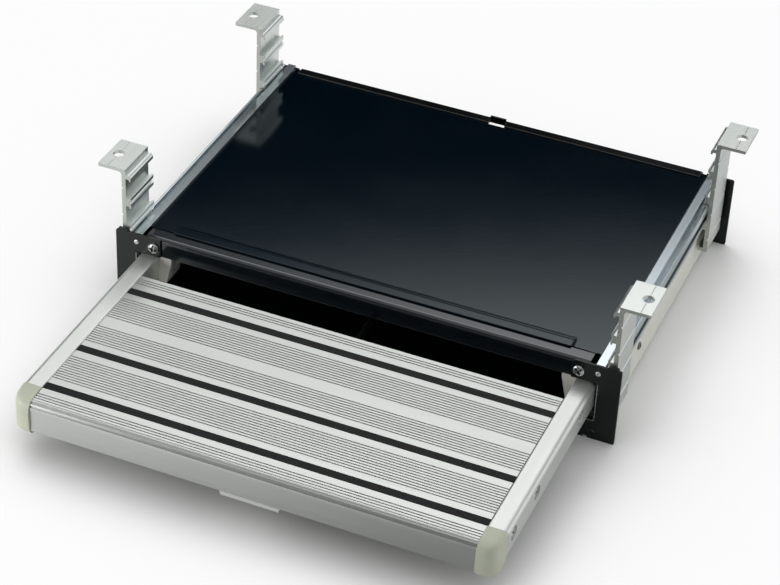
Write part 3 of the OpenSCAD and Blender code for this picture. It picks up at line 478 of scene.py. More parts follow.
# The same silk skin on the tube rails, with lines that run fore and aft.
RAIL_ALUMINIUM = DrawnAluminium(
    "anodised aluminium, drawn fore and aft", "anodised_aluminium", "#E6E9E5", "#E0E3DF",
    roughness=0.40, edge_mm=0.3, run=Run.FORE_AFT, metallic=0.75, line_depth_mm=0.0005,
)
# The release grip is a bent strip of the same metal, painted paler to lift the shade it lies in under the
# nose.
GRIP_ALUMINIUM_PAINTED_PALE = DrawnAluminium(
    "anodised aluminium strip", "anodised_aluminium", "#F2F4EF", "#EAECE7",
    roughness=0.42, edge_mm=0.3, run=Run.ACROSS, metallic=0.45, line_depth_mm=0.0012,
)
# Mill-finish bracket extrusion: brighter, with grey sawn ends.
BRACKET_ALUMINIUM = DrawnAluminium(
    "mill aluminium", "mill_aluminium", "#ECF0ED", "#E0E5E1",
    roughness=0.34, edge_mm=0.25, run=Run.FORE_AFT, end_colour="#B4B8B1", line_depth_mm=0.0008,
)
# The housing rails are bright and smooth, so that they mirror the room along their length.
HOUSING_ALUMINIUM = DrawnAluminium(
    "bright aluminium", "galvanised_rail", "#D3DBDF", "#CCD5D9",
    roughness=0.16, edge_mm=0.25, run=Run.FORE_AFT, metallic=0.92, line_depth_mm=0.0003, gloss=0.015,
)
# Chromated zinc on the lower walls: a warm, chalky, pale skin.
WALL_ZINC = PlatedSteel(
    "chromated zinc sheet", "zinc_wall", "#F8F8EF", "#F0F1E8",
    roughness=0.5, edge_mm=0.3, edge_colour="#F4F4EC", metallic=0.1, mottle_mm=6.0,
)
# Satin black powder coat of the end plates and pan, with a soft sheen.
BLACK_COAT = CoatedSteel(
    "satin black powder coat", "black_steel", "#0B1110", "#0F1514",
    roughness=0.27, edge_mm=0.4, edge_colour="#565B5D", sheen_tint="#E4EEE9",
)
# The front bar has a smoother coat; its pale grey edges are partly rubbed coat, partly a painted highlight
# line.
BAR_COAT = CoatedSteel(
    "smooth black powder coat", "black_steel", "#0B1216", "#0E1519",
    roughness=0.12, edge_mm=0.8, edge_colour="#80868A", peel_mm=1.6, peel_depth_mm=0.004,
    coat=0.7, coat_roughness=0.08, haze=0.015, sheen_tint="#F2FAFF",
)
# The rear bar is a deeper black, so that only its pale edges show: partly rubbed coat, partly a painted
# highlight line.
REAR_COAT = CoatedSteel(
    "deep black powder coat", "black_steel", "#050708", "#07090A",
    roughness=0.12, edge_mm=0.7, edge_colour="#8A8780", peel_mm=1.6, peel_depth_mm=0.006,
    haze=0.02, sheen_tint="#D0D8DC",
)
# Stoved blue-black gloss of the cover, which mirrors the room.
COVER_COAT = CoatedSteel(
    "gloss blue-black stove enamel", "black_cover", "#020E17", "#030F18",
    roughness=0.075, edge_mm=0.3, edge_colour="#2A3338", peel_mm=1.2, peel_depth_mm=0.025,
    haze=0.008, sheen_tint="#E7F9FF",
)
# The same enamel on the cover's folded strip, drawn smoother by the folding press.
FOLD_COAT = replace(COVER_COAT, name="smooth blue-black stove enamel", peel_mm=3.0, peel_depth_mm=0.002)
# Cream polyamide caps, slightly see-through, with a greenish cast.
CREAM_CAP = MouldedPlastic(
    "cream polyamide", "cream_plastic", "#CCD0BD", "#C2C6B1",
    roughness=0.40, edge_mm=0.8, grain_mm=0.7, ior=1.53, glow=0.15,
)
# Ribbed EPDM of the tread's strips and the buffers: matt, almost black.
STRIP_RUBBER = MouldedPlastic(
    "black EPDM rubber", "black_rubber", "#080B0C", "#0D1012",
    roughness=0.45, edge_mm=0.15, grain_mm=0.5, ior=1.4,
)
# Matt black of the strip beside the front bar's ledge, a painted shadow in the gap there, which mirrors
# almost nothing.
LEDGE_SHADOW_BLACK = MouldedPlastic(
    "black painted shadow", "black_rubber", "#030404", "#050606",
    roughness=0.95, edge_mm=0.3, grain_mm=0.9, ior=1.08,
)
# Bright zinc on the bar screws and the latch, with painted shade in the crosses.
ZINC_SCREW = PlatedSteel(
    "bright zinc plate", "zinc_steel", "#DADCDB", "#BFC2C2", roughness=0.24, edge_mm=0.15, recess_shade_mm=2.6
)
# Whiter zinc on the rivets, which stay clean.
ZINC_RIVET = PlatedSteel("white zinc plate", "zinc_steel", "#E8EAE9", "#D6D9D8", roughness=0.34, edge_mm=0.15)
# Pale, half chalky zinc on the screws that are sunk in the tread's rails, with painted shade in the crosses.
ZINC_PALE = PlatedSteel(
    "pale zinc plate", "zinc_steel", "#EEF0EF", "#DADDDC",
    roughness=0.36, edge_mm=0.15, edge_colour="#F4F5F4", metallic=0.5, recess_shade_mm=2.6,
)
# Dull grey zinc on the wall screws, with painted shade in the crosses.
ZINC_DULL = PlatedSteel(
    "dull zinc plate", "zinc_steel", "#8E9190", "#747776",
    roughness=0.36, edge_mm=0.15, edge_colour="#A2A5A4", recess_shade_mm=2.6,
)
# Black nylon of the guides: matt, with a fine grain.
BLACK_NYLON = MouldedPlastic(
    "black nylon", "black_nylon", "#101213", "#161919",
    roughness=0.5, edge_mm=0.4, grain_mm=0.9, grain_depth_mm=0.012, ior=1.53,
)
# Natural nylon of the stops and glides: off-white, slightly see-through.
WHITE_NYLON = MouldedPlastic(
    "natural nylon", "white_nylon", "#EDEBE2", "#E3E0D4",
    roughness=0.45, edge_mm=0.4, grain_mm=0.9, grain_depth_mm=0.012, ior=1.53, glow=0.1,
)
# Oiled spring wire and strip: a dark, even shine.
SPRING_STEEL = PlatedSteel(
    "oiled spring steel", "spring_steel", "#8F9496", "#6E7375",
    roughness=0.3, edge_mm=0.1, edge_colour="#A9AEB0",
)
# The pull rod's blackened skin, worn grey on its edges.
ROD_STEEL = PlatedSteel(
    "blackened steel", "black_rod", "#34383A", "#26292B",
    roughness=0.36, edge_mm=0.2, edge_colour="#5A5F61", metallic=0.7,
)


def closed_tube(rings: np.ndarray, first: np.ndarray, last: np.ndarray) -> Shell:
    """Join rings of points into a closed skin with a pole at each end.

    Quads join each ring to the next and wrap round; triangles join the end rings to their poles. The
    faces are turned outwards by the sign of the enclosed volume, the sum over triangles of a.(b x c)/6.

    Args:
        rings: Points of shape (rings, sides, 3).
        first: Pole before the first ring.
        last: Pole after the last ring.

    Returns:
        The vertices and the faces.
    """
    count, sides = rings.shape[:2]
    points = np.vstack([rings.reshape(-1, 3), first, last])
    index = np.arange(count * sides).reshape(count, sides)
    onward = np.roll(index, -1, axis=1)
    quads = np.stack([index[:-1], onward[:-1], onward[1:], index[1:]], -1).reshape(-1, 4)
    pole = count * sides
    start = np.stack([np.full(sides, pole), onward[0], index[0]], -1)
    end = np.stack([np.full(sides, pole + 1), index[-1], onward[-1]], -1)
    corners = np.vstack([quads[:, [0, 1, 2]], quads[:, [0, 2, 3]], start, end])
    a, b, c = (points[corners[:, i]] for i in range(3))
    if np.einsum("ij,ij->i", a, np.cross(b, c)).sum() < 0:
        quads, start, end = quads[:, ::-1], start[:, ::-1], end[:, ::-1]
    return points, quads.tolist() + start.tolist() + end.tolist()


def make_piece(
    name: str, shells: list[Shell], finish: Finish, body: str, sharp_deg: float, node: str | None = None
) -> bpy.types.Object:
    """Make one object of closed shells given in millimetres.

    Args:
        name: Name of the piece.
        shells: Vertices and faces of each closed shell.
        finish: Finish of the piece.
        body: Body that it rides on.
        sharp_deg: Edges that turn by more than this stay sharp.
        node: CAD node that the piece stands in for, if any.

    Returns:
        The object, at the origin, riding on its body.
    """
    starts = np.cumsum([0] + [len(points) for points, _ in shells])
    points = np.vstack([points for points, _ in shells]) * MM
    faces = [[int(i + s) for i in face] for s, (_, found) in zip(starts, shells) for face in found]
    mesh = bpy.data.meshes.new(name)
    mesh.from_pydata(points.tolist(), [], faces)
    mesh.shade_smooth()
    mesh.set_sharp_from_angle(angle=math.radians(sharp_deg))
    mesh.materials.append(finish.material())
    piece = bpy.data.objects.new(name, mesh)
    bpy.context.scene.collection.objects.link(piece)
    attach(piece, body)
    if node:
        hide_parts(node)
    LOG.info("%s: %s, %d shells", name, finish.name, len(shells))
    return piece


def dress(finish: Finish, *names: str) -> None:
    """Give CAD nodes a finish.

    Args:
        finish: The finish.
        names: Names of the nodes.
    """
    for name in names:
        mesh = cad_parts[name].data
        mesh.materials.clear()
        mesh.materials.append(finish.material())
        LOG.info("%s: %s", name, finish.name)


def turned(seat: Point, axis: Point, radius: np.ndarray, height: np.ndarray, poles: Span) -> Shell:
    """Set a turned form on its axis.

    A point at angle a is seat + radius (cos a, sin a) in the plane across the axis + height along it.

    Args:
        seat: Point on the axis at height 0.
        axis: Unit vector of the axis, which lies level.
        radius: Radii of shape (rings, sides).
        height: Heights of shape (rings, sides).
        poles: Heights of the first and the last pole.

    Returns:
        Vertices and faces of the closed shell.
    """
    up = np.array(axis, float)
    side = np.cross(up, [0.0, 0.0, 1.0])
    side /= np.linalg.norm(side)
    other = np.cross(up, side)
    angle = np.linspace(0, 2 * np.pi, radius.shape[1], endpoint=False)
    across = np.cos(angle)[None, :, None] * side + np.sin(angle)[None, :, None] * other
    rings = np.array(seat) + radius[..., None] * across + height[..., None] * up
    return closed_tube(rings, np.array(seat) + poles[0] * up, np.array(seat) + poles[1] * up)


def carried(outline: np.ndarray, half_l: float, y: float, z: float) -> np.ndarray:
    """Carry an outline straight along X.

    Args:
        outline: Points (Y, Z) of the outline, counted from y and z.
        half_l: Half of the length along X.
        y: Where the outline's Y starts.
        z: Where the outline's Z starts.

    Returns:
        Rings of points, of shape (3, points, 3).
    """
    x = np.linspace(-half_l, half_l, 3)
    rings = np.empty((len(x), len(outline), 3))
    rings[..., 0] = x[:, None]
    rings[..., 1] = y + outline[None, :, 0]
    rings[..., 2] = z + outline[None, :, 1]
    return rings


def pebble(box: tuple[Point, Point]) -> Shell:
    """Make a box with softly rounded sides, |x|^5 + |y|^5 + |z|^5 = 1 within its corners.

    Args:
        box: Its lowest and highest corner.

    Returns:
        Vertices and faces of the closed shell.
    """
    rows, sides, power = 18, 32, 2 / 5
    low, high = np.array(box[0]), np.array(box[1])
    rise = np.linspace(-np.pi / 2, np.pi / 2, rows)[1:-1, None]
    turn = np.linspace(0, 2 * np.pi, sides, endpoint=False)[None, :]
    parts = [np.cos(rise) * np.cos(turn), np.cos(rise) * np.sin(turn), np.sin(rise) * np.ones_like(turn)]
    unit = np.stack([np.sign(part) * np.abs(part) ** power for part in parts], -1)
    middle, half = (low + high) / 2, (high - low) / 2
    return closed_tube(middle + half * unit, middle - [0, 0, half[2]], middle + [0, 0, half[2]])


@dataclass(frozen=True)
class Screw:
    """A pan-head cross-recess screw.

    Attributes:
        seat: Where the underside of the head sits, in millimetres.
        axis: Unit vector out of the head.
        head_d: Diameter of the head.
        head_h: Height of the head.
        shank_d: Diameter over the thread.
        shank_l: Length of the shank.
        turn_deg: How far the cross is turned.
        recess: Depth of the cross as a share of the head's height.
        arm: Length of an arm of the cross as a share of the head's diameter.
        arm_width: Half width of an arm at the middle as a share of its length.
        arm_taper: Share of that width that is lost along the arm.
        arm_wall: Width of the cross's sloping wall as a share of the head's diameter.
        brim: Height of the head's straight side as a share of its height.
        crown_power: Power of the crown's curve.
        pitch: Pitch of the thread.
        thread: Depth of the thread as a share of the shank's diameter.
        tip_l: Length of the plain tip.
        sides: Points round the screw.
    """

    seat: Point
    axis: Point
    head_d: float
    head_h: float
    shank_d: float
    shank_l: float
    turn_deg: float = 0.0
    recess: float = 0.72
    arm: float = 0.4
    arm_width: float = 0.28
    arm_taper: float = 0.35
    arm_wall: float = 0.03
    brim: float = 0.42
    crown_power: float = 2.6
    pitch: float = 1.4
    thread: float = 0.14
    tip_l: float = 0.8
    sides: int = 64

    def shell(self) -> Shell:
        """Work out the screw's surface.

        Crown: height = brim + dome (1 - (r/R)^power), less a cross whose depth fades along each arm.
        Shank: radius = crest - depth times a triangle wave of (angle / turn - height / pitch).

        Returns:
            Vertices and faces of the closed shell.
        """
        crown_inner, crown_outer, crown_rings, rings_per_pitch = 0.05, 0.97, 22, 5
        outer, brim = self.head_d / 2, self.brim * self.head_h
        angle = np.linspace(0, 2 * np.pi, self.sides, endpoint=False)[None, :]
        reach = np.linspace(crown_inner, crown_outer, crown_rings)[:, None] * outer
        dome = brim + (self.head_h - brim) * (1 - (reach / outer) ** self.crown_power)
        turn = angle - math.radians(self.turn_deg)
        u, v = np.abs(reach * np.cos(turn)), np.abs(reach * np.sin(turn))
        narrow, long = np.minimum(u, v), np.maximum(u, v)
        arm = self.arm * self.head_d
        width = self.arm_width * arm * (1 - self.arm_taper * np.clip(long / arm, 0, 1))
        inside = np.clip((width - narrow) / (self.arm_wall * self.head_d) + 0.5, 0, 1)
        fade = np.clip(1 - (long / arm) ** 3, 0, 1)
        crown = dome - self.recess * self.head_h * inside * fade
        flat = np.ones((1, self.sides))
        rim_r = np.array([1.0, 1.0, 0.97])[:, None] * outer * flat
        rim_h = np.array([0.9 * brim, 0.12 * brim, 0.0])[:, None] * flat
        down = np.arange(0.0, self.shank_l - self.tip_l, self.pitch / rings_per_pitch)[:, None]
        wave = np.abs(2 * ((angle / (2 * np.pi) + down / self.pitch) % 1) - 1)
        shank = self.shank_d / 2 - self.thread * self.shank_d * wave * np.clip(down / self.pitch, 0, 1)
        tip_r = np.array([0.36, 0.2])[:, None] * self.shank_d * flat
        tip_h = np.array([self.tip_l / 2 - self.shank_l, -self.shank_l])[:, None] * flat
        radius = np.vstack([reach * flat, rim_r, shank, tip_r])
        height = np.vstack([crown, rim_h, -down * flat, tip_h])
        return turned(self.seat, self.axis, radius, height, ((1 - self.recess) * self.head_h, -self.shank_l))


@dataclass(frozen=True)
class BlindRivet:
    """A blind rivet whose domed head has the dimple that its mandrel left.

    Attributes:
        seat: Where the head sits, in millimetres.
        axis: Unit vector out of the head.
        shank_d: Diameter of the shank.
        shank_l: Length of the shank.
        head_r: Radius of the head as a share of the shank's diameter.
        head_h: Height of the head as a share of the shank's diameter.
        brim: Height of the head's straight side as a share of its height.
        dimple_r: Radius of the dimple as a share of the head's.
        dimple_d: Depth of the dimple as a share of the head's height.
        sides: Points round the rivet.
    """

    seat: Point
    axis: Point
    shank_d: float
    shank_l: float
    head_r: float = 0.8
    head_h: float = 0.45
    brim: float = 0.18
    dimple_r: float = 0.3
    dimple_d: float = 0.55
    sides: int = 40

    def shell(self) -> Shell:
        """Turn the outline: height = brim + dome sqrt(1 - (r/R)^2), less the dimple in the middle.

        Returns:
            Vertices and faces of the closed shell.
        """
        head_r, head_h, shank_r = self.head_r * self.shank_d, self.head_h * self.shank_d, self.shank_d / 2
        reach = np.array([0.06, 0.2, 0.28, 0.33, 0.4, 0.5, 0.62, 0.74, 0.85, 0.94, 1.0])
        dome = head_h * (self.brim + (1 - self.brim) * np.sqrt(np.clip(1 - reach**2, 0, 1)))
        dome -= np.where(reach < self.dimple_r, self.dimple_d * head_h, 0.0)
        radius = np.concatenate([reach * head_r, [head_r * 0.98, shank_r, shank_r, self.shank_d * 0.4]])
        height = np.concatenate([dome, [0.0, 0.0, 0.3 - self.shank_l, -self.shank_l]])
        flat = np.ones((1, self.sides))
        poles = ((1 - self.dimple_d) * head_h, -self.shank_l)
        return turned(self.seat, self.axis, radius[:, None] * flat, height[:, None] * flat, poles)


@dataclass
class Housing:
    """The fixed housing: rails, walls, plates, bars, cover, pan and their fasteners.

    Sizes are in millimetres. Places count from the middle plane, the front plates' face and the tread's top.
    A screw's size is its head's diameter and height and its shank's diameter and length.
    """

    front_y: float = -163.9
    depth: float = 336.0
    tread_z: float = -85.0
    plate_t: float = 2.0

    bar_screw: tuple[float, ...] = (10.6, 3.4, 4.8, 5.5)
    bar_screw_x: float = 202.6
    front_screw_z: float = 11.5
    front_turn_deg: Span = (-5.0, 45.0)
    rear_screw_z: float = 8.0
    rear_turn_deg: float = 40.0
    wall_screw: tuple[float, ...] = (7.6, 2.2, 3.8, 2.7)
    wall_screw_at: Point = (225.0, 107.0, -28.5)
    wall_turn_deg: float = 15.0
    rivet: Span = (3.1, 10.0)
    rivet_x: float = 219.8
    rivet_z: float = 13.3

    buffer_x: float = 203.4
    buffer_z: float = -14.0
    buffer_r: float = 3.2
    buffer_t: float = 5.2
    buffer_nose: float = 1.2
    buffer_foot: float = 0.6

    window_x: float = 221.0
    window_low_z: float = -38.0
    window_r: float = 2.0
    trim_top_z: float = 1.5
    trim_in_x: float = 213.0
    trim_t: float = 0.6
    trim_d: float = 2.2

    fold_end_x: float = 189.0
    fold_outline: tuple[Span, ...] = (
        (15.0, 21.1), (15.0, 22.4), (15.15, 22.7), (15.4, 22.8),
        (23.6, 22.8), (23.7, 22.1), (24.4, 22.1), (24.5, 22.8),
        (27.0, 22.78), (27.1, 22.1), (27.7, 22.1), (27.8, 22.7),
        (28.2, 22.65), (28.4, 19.9), (20.2, 19.9), (19.3, 21.1),
    )
    # A black strip behind and at both ends of the front bar's ledge: a painted shadow in the gap there.
    shadow_strip_x: Span = (211.2, 215.8)
    shadow_strip_y: Point = (3.0, 15.9, 19.2)
    shadow_strip_z: Span = (17.45, 20.4)

    def build(self) -> None:
        """Dress the solids and make the finer parts."""
        dress(COVER_COAT, "cover_plate")
        dress(HOUSING_ALUMINIUM, "side_rail_left", "side_rail_right")
        dress(WALL_ZINC, "side_wall_left", "side_wall_right")
        dress(BAR_COAT, "front_crossbar")
        dress(REAR_COAT, "rear_crossbar")
        dress(BLACK_COAT, "front_end_plate_left", "front_end_plate_right")
        dress(BLACK_COAT, "rear_end_plate_left", "rear_end_plate_right", "bottom_pan")
        dress(BLACK_NYLON, "front_guide_left", "front_guide_right")
        dress(SPRING_STEEL, "catch_strip")
        dress(ZINC_SCREW, "catch_rivets")
        self.screws()
        self.rivets()
        self.buffers()
        self.window_trims()
        self.cover_fold()
        self.ledge_shadow_strip()

    def screws(self) -> None:
        """Make the bar screws at both ends and the two wall screws."""
        back_y = self.front_y + self.depth
        front_z, rear_z = self.tread_z + self.front_screw_z, self.tread_z + self.rear_screw_z
        wall_x, wall_y, wall_z = self.wall_screw_at
        front, rear, wall = [], [], []
        for side, front_turn in zip(Side, self.front_turn_deg):
            x = side.value * self.bar_screw_x
            wall_seat = (side.value * wall_x, self.front_y + wall_y, self.tread_z + wall_z)
            front.append(Screw((x, self.front_y, front_z), (0, -1, 0), *self.bar_screw, front_turn))
            rear.append(Screw((x, back_y, rear_z), (0, 1, 0), *self.bar_screw, self.rear_turn_deg))
            wall.append(Screw(wall_seat, (side.value, 0, 0), *self.wall_screw, self.wall_turn_deg))
        plated = (
            ("front_bar_screws", front, ZINC_SCREW),
            ("rear_bar_screws", rear, ZINC_SCREW),
            ("wall_screws", wall, ZINC_DULL),
        )
        for node, screws, zinc in plated:
            shells = [screw.shell() for screw in screws]
            make_piece(f"{node}_turned", shells, zinc, "housing", sharp_deg=32, node=node)

    def rivets(self) -> None:
        """Make the four rivets that close the rails' screw ports."""
        ends = ((self.front_y, (0, -1, 0)), (self.front_y + self.depth, (0, 1, 0)))
        z = self.tread_z + self.rivet_z
        shells = []
        for side in Side:
            for y, axis in ends:
                shells.append(BlindRivet((side.value * self.rivet_x, y, z), axis, *self.rivet).shell())
        make_piece("rail_rivets_turned", shells, ZINC_RIVET, "housing", sharp_deg=40, node="rail_rivets")

    def buffers(self) -> None:
        """Make the two rubber buffers, each a stub with a rounded nose.

        While u goes from the nose's middle to its rim, the radius is r (0.55 + 0.45 u) and the height is
        t - nose (1 - sqrt(1 - u^2)). The first ring is drawn in to close the middle.
        """
        y, z = self.front_y + self.depth - self.plate_t, self.tread_z + self.buffer_z
        nose_rings, middle, sides = 10, 0.3, 40
        u = np.sin(np.linspace(0.05, 1, nose_rings) * np.pi / 2)
        radius = self.buffer_r * np.concatenate([0.55 + 0.45 * u, [1.0, 1.0]])
        radius[0] = middle * self.buffer_r
        nose = self.buffer_t - self.buffer_nose * (1 - np.sqrt(np.clip(1 - u**2, 0, 1)))
        height = np.concatenate([nose, [self.buffer_foot, 0.0]])
        flat = np.ones((1, sides))
        outline = (radius[:, None] * flat, height[:, None] * flat)
        poles = (self.buffer_t, 0.0)
        shells = [turned((s.value * self.buffer_x, y, z), (0, -1, 0), *outline, poles) for s in Side]
        make_piece("rear_buffers_moulded", shells, STRIP_RUBBER, "housing", sharp_deg=50, node="rear_buffers")

    def cover_fold(self) -> None:
        """Make the folded sheet edge that lies on the cover's front strip and over the bar's ledge.

        Its outline, a front lip, a flat top with two pressed grooves and a back edge, is carried along X.
        """
        rings = carried(np.array(self.fold_outline), self.fold_end_x, self.front_y, self.tread_z)
        middle = rings.mean(1)
        shell = closed_tube(rings, middle[0], middle[-1])
        make_piece("cover_fold", [shell], FOLD_COAT, "housing", sharp_deg=8)

    def ledge_shadow_strip(self) -> None:
        """Make the black strip behind and at both ends of the front bar's ledge, a painted shadow that
        darkens the gap there.
        """
        inner_x, outer_x = self.shadow_strip_x
        front_y, ledge_y, back_y = self.shadow_strip_y
        low_z, high_z = self.shadow_strip_z
        boxes = [((-outer_x, ledge_y, low_z), (outer_x, back_y, high_z))]
        for side in Side:
            left, right = sorted((side.value * inner_x, side.value * outer_x))
            boxes.append(((left, front_y, low_z), (right, back_y, high_z)))
        place = np.array([0.0, self.front_y, self.tread_z])
        shells = [(points + place, faces) for points, faces in map(pebble, boxes)]
        make_piece("ledge_shadow_strip", shells, LEDGE_SHADOW_BLACK, "housing", sharp_deg=50)

    def window_trims(self) -> None:
        """Make the thin bright trim along the outer and lower edge of each front plate's window.

        The trim's middle line runs down the window's outer edge, round a quarter circle and inwards; its
        section is a flat oval, t |cos a|^0.4 across the sheet and d |sin a|^0.4 through it.
        Its bright zinc is partly a trim, partly a painted highlight of the window's edge.
        """
        power, inset, sunk = 0.4, 0.7 * self.trim_t, 0.3 * self.trim_d
        corner_points, sides = 9, 24
        turn = np.linspace(0, np.pi / 2, corner_points)
        round_x = self.window_x - self.window_r * (1 - np.cos(turn))
        round_z = self.window_low_z + self.window_r * (1 - np.sin(turn))
        x = np.concatenate([[self.window_x], round_x, [self.trim_in_x]])[:, None]
        z = np.concatenate([[self.trim_top_z], round_z, [self.window_low_z]])[:, None]
        out_x = np.concatenate([[1.0], np.cos(turn), [0.0]])[:, None]
        out_z = np.concatenate([[0.0], -np.sin(turn), [-1.0]])[:, None]
        angle = np.linspace(0, 2 * np.pi, sides, endpoint=False)
        wide = self.trim_t / 2 * np.sign(np.cos(angle)) * np.abs(np.cos(angle)) ** power
        deep = self.trim_d / 2 * np.sign(np.sin(angle)) * np.abs(np.sin(angle)) ** power
        shells = []
        for side in Side:
            rings = np.empty((len(x), len(angle), 3))
            rings[..., 0] = side.value * (x + out_x * (wide - inset))
            rings[..., 1] = self.front_y + sunk + deep[None, :]
            rings[..., 2] = self.tread_z + z + out_z * (wide - inset)
            shells.append(closed_tube(rings, rings[0].mean(0), rings[-1].mean(0)))
        # Bright zinc trim: partly a painted highlight of the window's edge.
        make_piece("window_trims", shells, ZINC_SCREW, "housing", sharp_deg=50)


@dataclass
class Brackets:
    """The four hanging brackets."""

    ends: tuple[str, str] = ("front", "rear")

    def build(self) -> None:
        """Dress the brackets as mill-finish extrusions with sawn ends."""
        names = [f"bracket_{end}_{side.name.lower()}" for end in self.ends for side in Side]
        dress(BRACKET_ALUMINIUM, *names)


@dataclass
class Tread:
    """The sliding tread: plank, strips, rails, caps, stops and the latch carriers.

    Sizes are in millimetres. Places count from the middle plane, the nose and the tread's top, apart from
    stop_y, which is in the frame. A screw's size is its head's diameter and height and its shank's diameter
    and length.
    """

    nose_y: float = -392.5
    top_z: float = -85.0
    half_w: float = 199.8

    strip_at: Point = (22.8, 80.2, 171.8)
    strip_w: float = 8.2
    strip_d: float = 2.0
    strip_proud: float = 0.6
    strip_key: float = 0.6
    strip_gap: float = 0.05
    ridges: int = 5
    ridge_h: float = 0.3

    rail_screw: tuple[float, ...] = (10.8, 7.2, 4.0, 24.7)
    rail_screw_at: Point = (35.6, 89.4, 196.0)
    rail_screw_z: float = -10.6
    rail_turn_deg: Point = (40.0, 65.0, 90.0)
    rail_web_x: float = 210.7
    rail_in_x: float = 200.0
    rail_h: float = 28.0

    cap_w: float = 18.4
    cap_l: float = 24.5
    cap_back: float = 22.3
    cap_top_z: float = 0.9
    cap_middle_z: float = -19.0
    cap_dip: float = 9.4
    cap_dip_end: float = 0.55
    cap_toe: tuple[Point, Point] = ((197.2, 4.0, -33.6), (202.0, 14.0, -29.6))
    cap_plug: tuple[Point, Point] = ((202.2, 21.0, -25.8), (208.5, 28.3, -1.5))

    stop_screw: tuple[float, ...] = (8.6, 2.8, 4.2, 10.0)
    stop_turn_deg: float = 30.0
    stop_x: float = 195.0
    stop_y: float = -147.6
    stop_z: float = -14.0

    spring_at: float = 141.7
    spring_l: float = 36.6
    spring_z: float = -22.0
    spring_r: float = 5.0
    spring_turns: int = 9
    wire_d: float = 1.2

    def build(self) -> None:
        """Dress the solids and make the strips, caps, screws and spring."""
        dress(TREAD_ALUMINIUM, "tread_plate")
        dress(RAIL_ALUMINIUM, "tread_rail_left", "tread_rail_right")
        dress(BLACK_COAT, "rear_crossmember")
        dress(WHITE_NYLON, "rear_glide_left", "rear_glide_right", "stop_block_left", "stop_block_right")
        dress(BLACK_NYLON, "rod_guide_front", "rod_guide_rear")
        dress(ZINC_SCREW, "crossmember_rivets", "pawl_bracket", "pawl_pin")
        for place, name in zip(self.strip_at, ("front", "middle", "rear")):
            self.strip(place, name)
        for side in Side:
            self.cap(side)
        self.screws()
        self.spring()

    def cap(self, side: Side) -> None:
        """Make one moulded end cap: a rounded thumb of sections across the rail, a toe and a plug.

        Along the cap, w goes from 0 at the rail to 1 at the front. The section's half height is H and its
        width W there, both shrinking as (1 - w^p)^(1/p); in a section at angle a the skin lies at
        W cos(a)^(2/n) outwards and H sin(a)^(2/n) up or down, with n falling towards the front.

        Args:
            side: Side of the step.
        """
        low_power, high_power, side_power = 3.4, 4, 3
        square, square_lost = 9.0, 5.5
        # The sections stand closer together towards the rounded front.
        step = np.linspace(0, np.pi / 2, 26)[:-1]
        w = np.unique(np.concatenate([np.linspace(0, 0.7, 10), np.sin(step[8:]) ** 0.5, [0.9995]]))[:, None]
        a = np.linspace(-np.pi / 2, np.pi / 2, 45)[None, :]
        power = 2 / (square - square_lost * w**2)
        across, upward = np.cos(a).clip(0) ** power, np.sign(np.sin(a)) * np.abs(np.sin(a)) ** power
        dip = self.cap_dip * np.clip(w / self.cap_dip_end, 0, 1) ** 0.8
        below = self.cap_middle_z + self.rail_h + dip
        low = self.cap_middle_z - below * (1 - w**low_power) ** (1 / low_power)
        above = self.cap_top_z - self.cap_middle_z
        high = self.cap_middle_z + above * (1 - w**high_power) ** (1 / high_power)
        skin_x = self.rail_in_x + self.cap_w * (1 - w**side_power) ** (1 / side_power) * across
        skin_z = (high + low) / 2 + (high - low) / 2 * upward
        inner_z = np.linspace(high[:, 0], low[:, 0], 14, axis=1)[:, 1:-1]
        x = np.concatenate([skin_x, np.full_like(inner_z, self.rail_in_x)], 1)
        z = np.concatenate([skin_z, inner_z], 1)
        y = (self.cap_back - self.cap_l * w) * np.ones_like(x)
        rings = np.stack([x, y, z], -1)
        poles = [rings[0].mean(0), rings[-1].mean(0) + [0, -0.01, 0]]
        placed = []
        for points, faces in (closed_tube(rings, *poles), pebble(self.cap_toe), pebble(self.cap_plug)):
            points = points * [side.value, 1, 1] + [0, self.nose_y, self.top_z]
            placed.append((points, faces if side is Side.RIGHT else [face[::-1] for face in faces]))
        node = f"end_cap_{side.name.lower()}"
        make_piece(f"{node}_moulded", placed, CREAM_CAP, "tread", sharp_deg=50, node=node)

    def strip(self, place: float, name: str) -> None:
        """Make one rubber strip: its keyed outline carried along X.

        The top is proud - h (1 + cos(2 pi ridges u)) / 2 over the width u from 0 to 1.

        Args:
            place: Distance of its front edge from the nose.
            name: Which strip it is.
        """
        gap, key, width = self.strip_gap, self.strip_key, self.strip_w
        u = np.linspace(0, 1, 16 * self.ridges + 1)
        y = gap + u * (width - 2 * gap)
        z = self.strip_proud - self.ridge_h * (1 + np.cos(2 * np.pi * self.ridges * u)) / 2
        low, step = gap - self.strip_d, key - self.strip_d
        base_y = [width - gap, width + key - gap, width + key - gap, gap - key, gap - key, gap]
        base_z = [step, step, low, low, step, step]
        outline = np.stack([np.concatenate([y, base_y]), np.concatenate([z, base_z])], -1)
        rings = carried(outline, self.half_w, self.nose_y + place, self.top_z)
        # A point inside the keyed foot closes each end.
        foot_z = self.top_z + 0.15 - 0.925 * self.strip_d
        middle = np.array([0.0, self.nose_y + place + width / 2, foot_z])
        ends = [middle + [end, 0, 0] for end in (-self.half_w, self.half_w)]
        shell, node = closed_tube(rings, *ends), f"anti_slip_strip_{name}"
        make_piece(f"strip_{name}_ribbed", [shell], STRIP_RUBBER, "tread", sharp_deg=50, node=node)

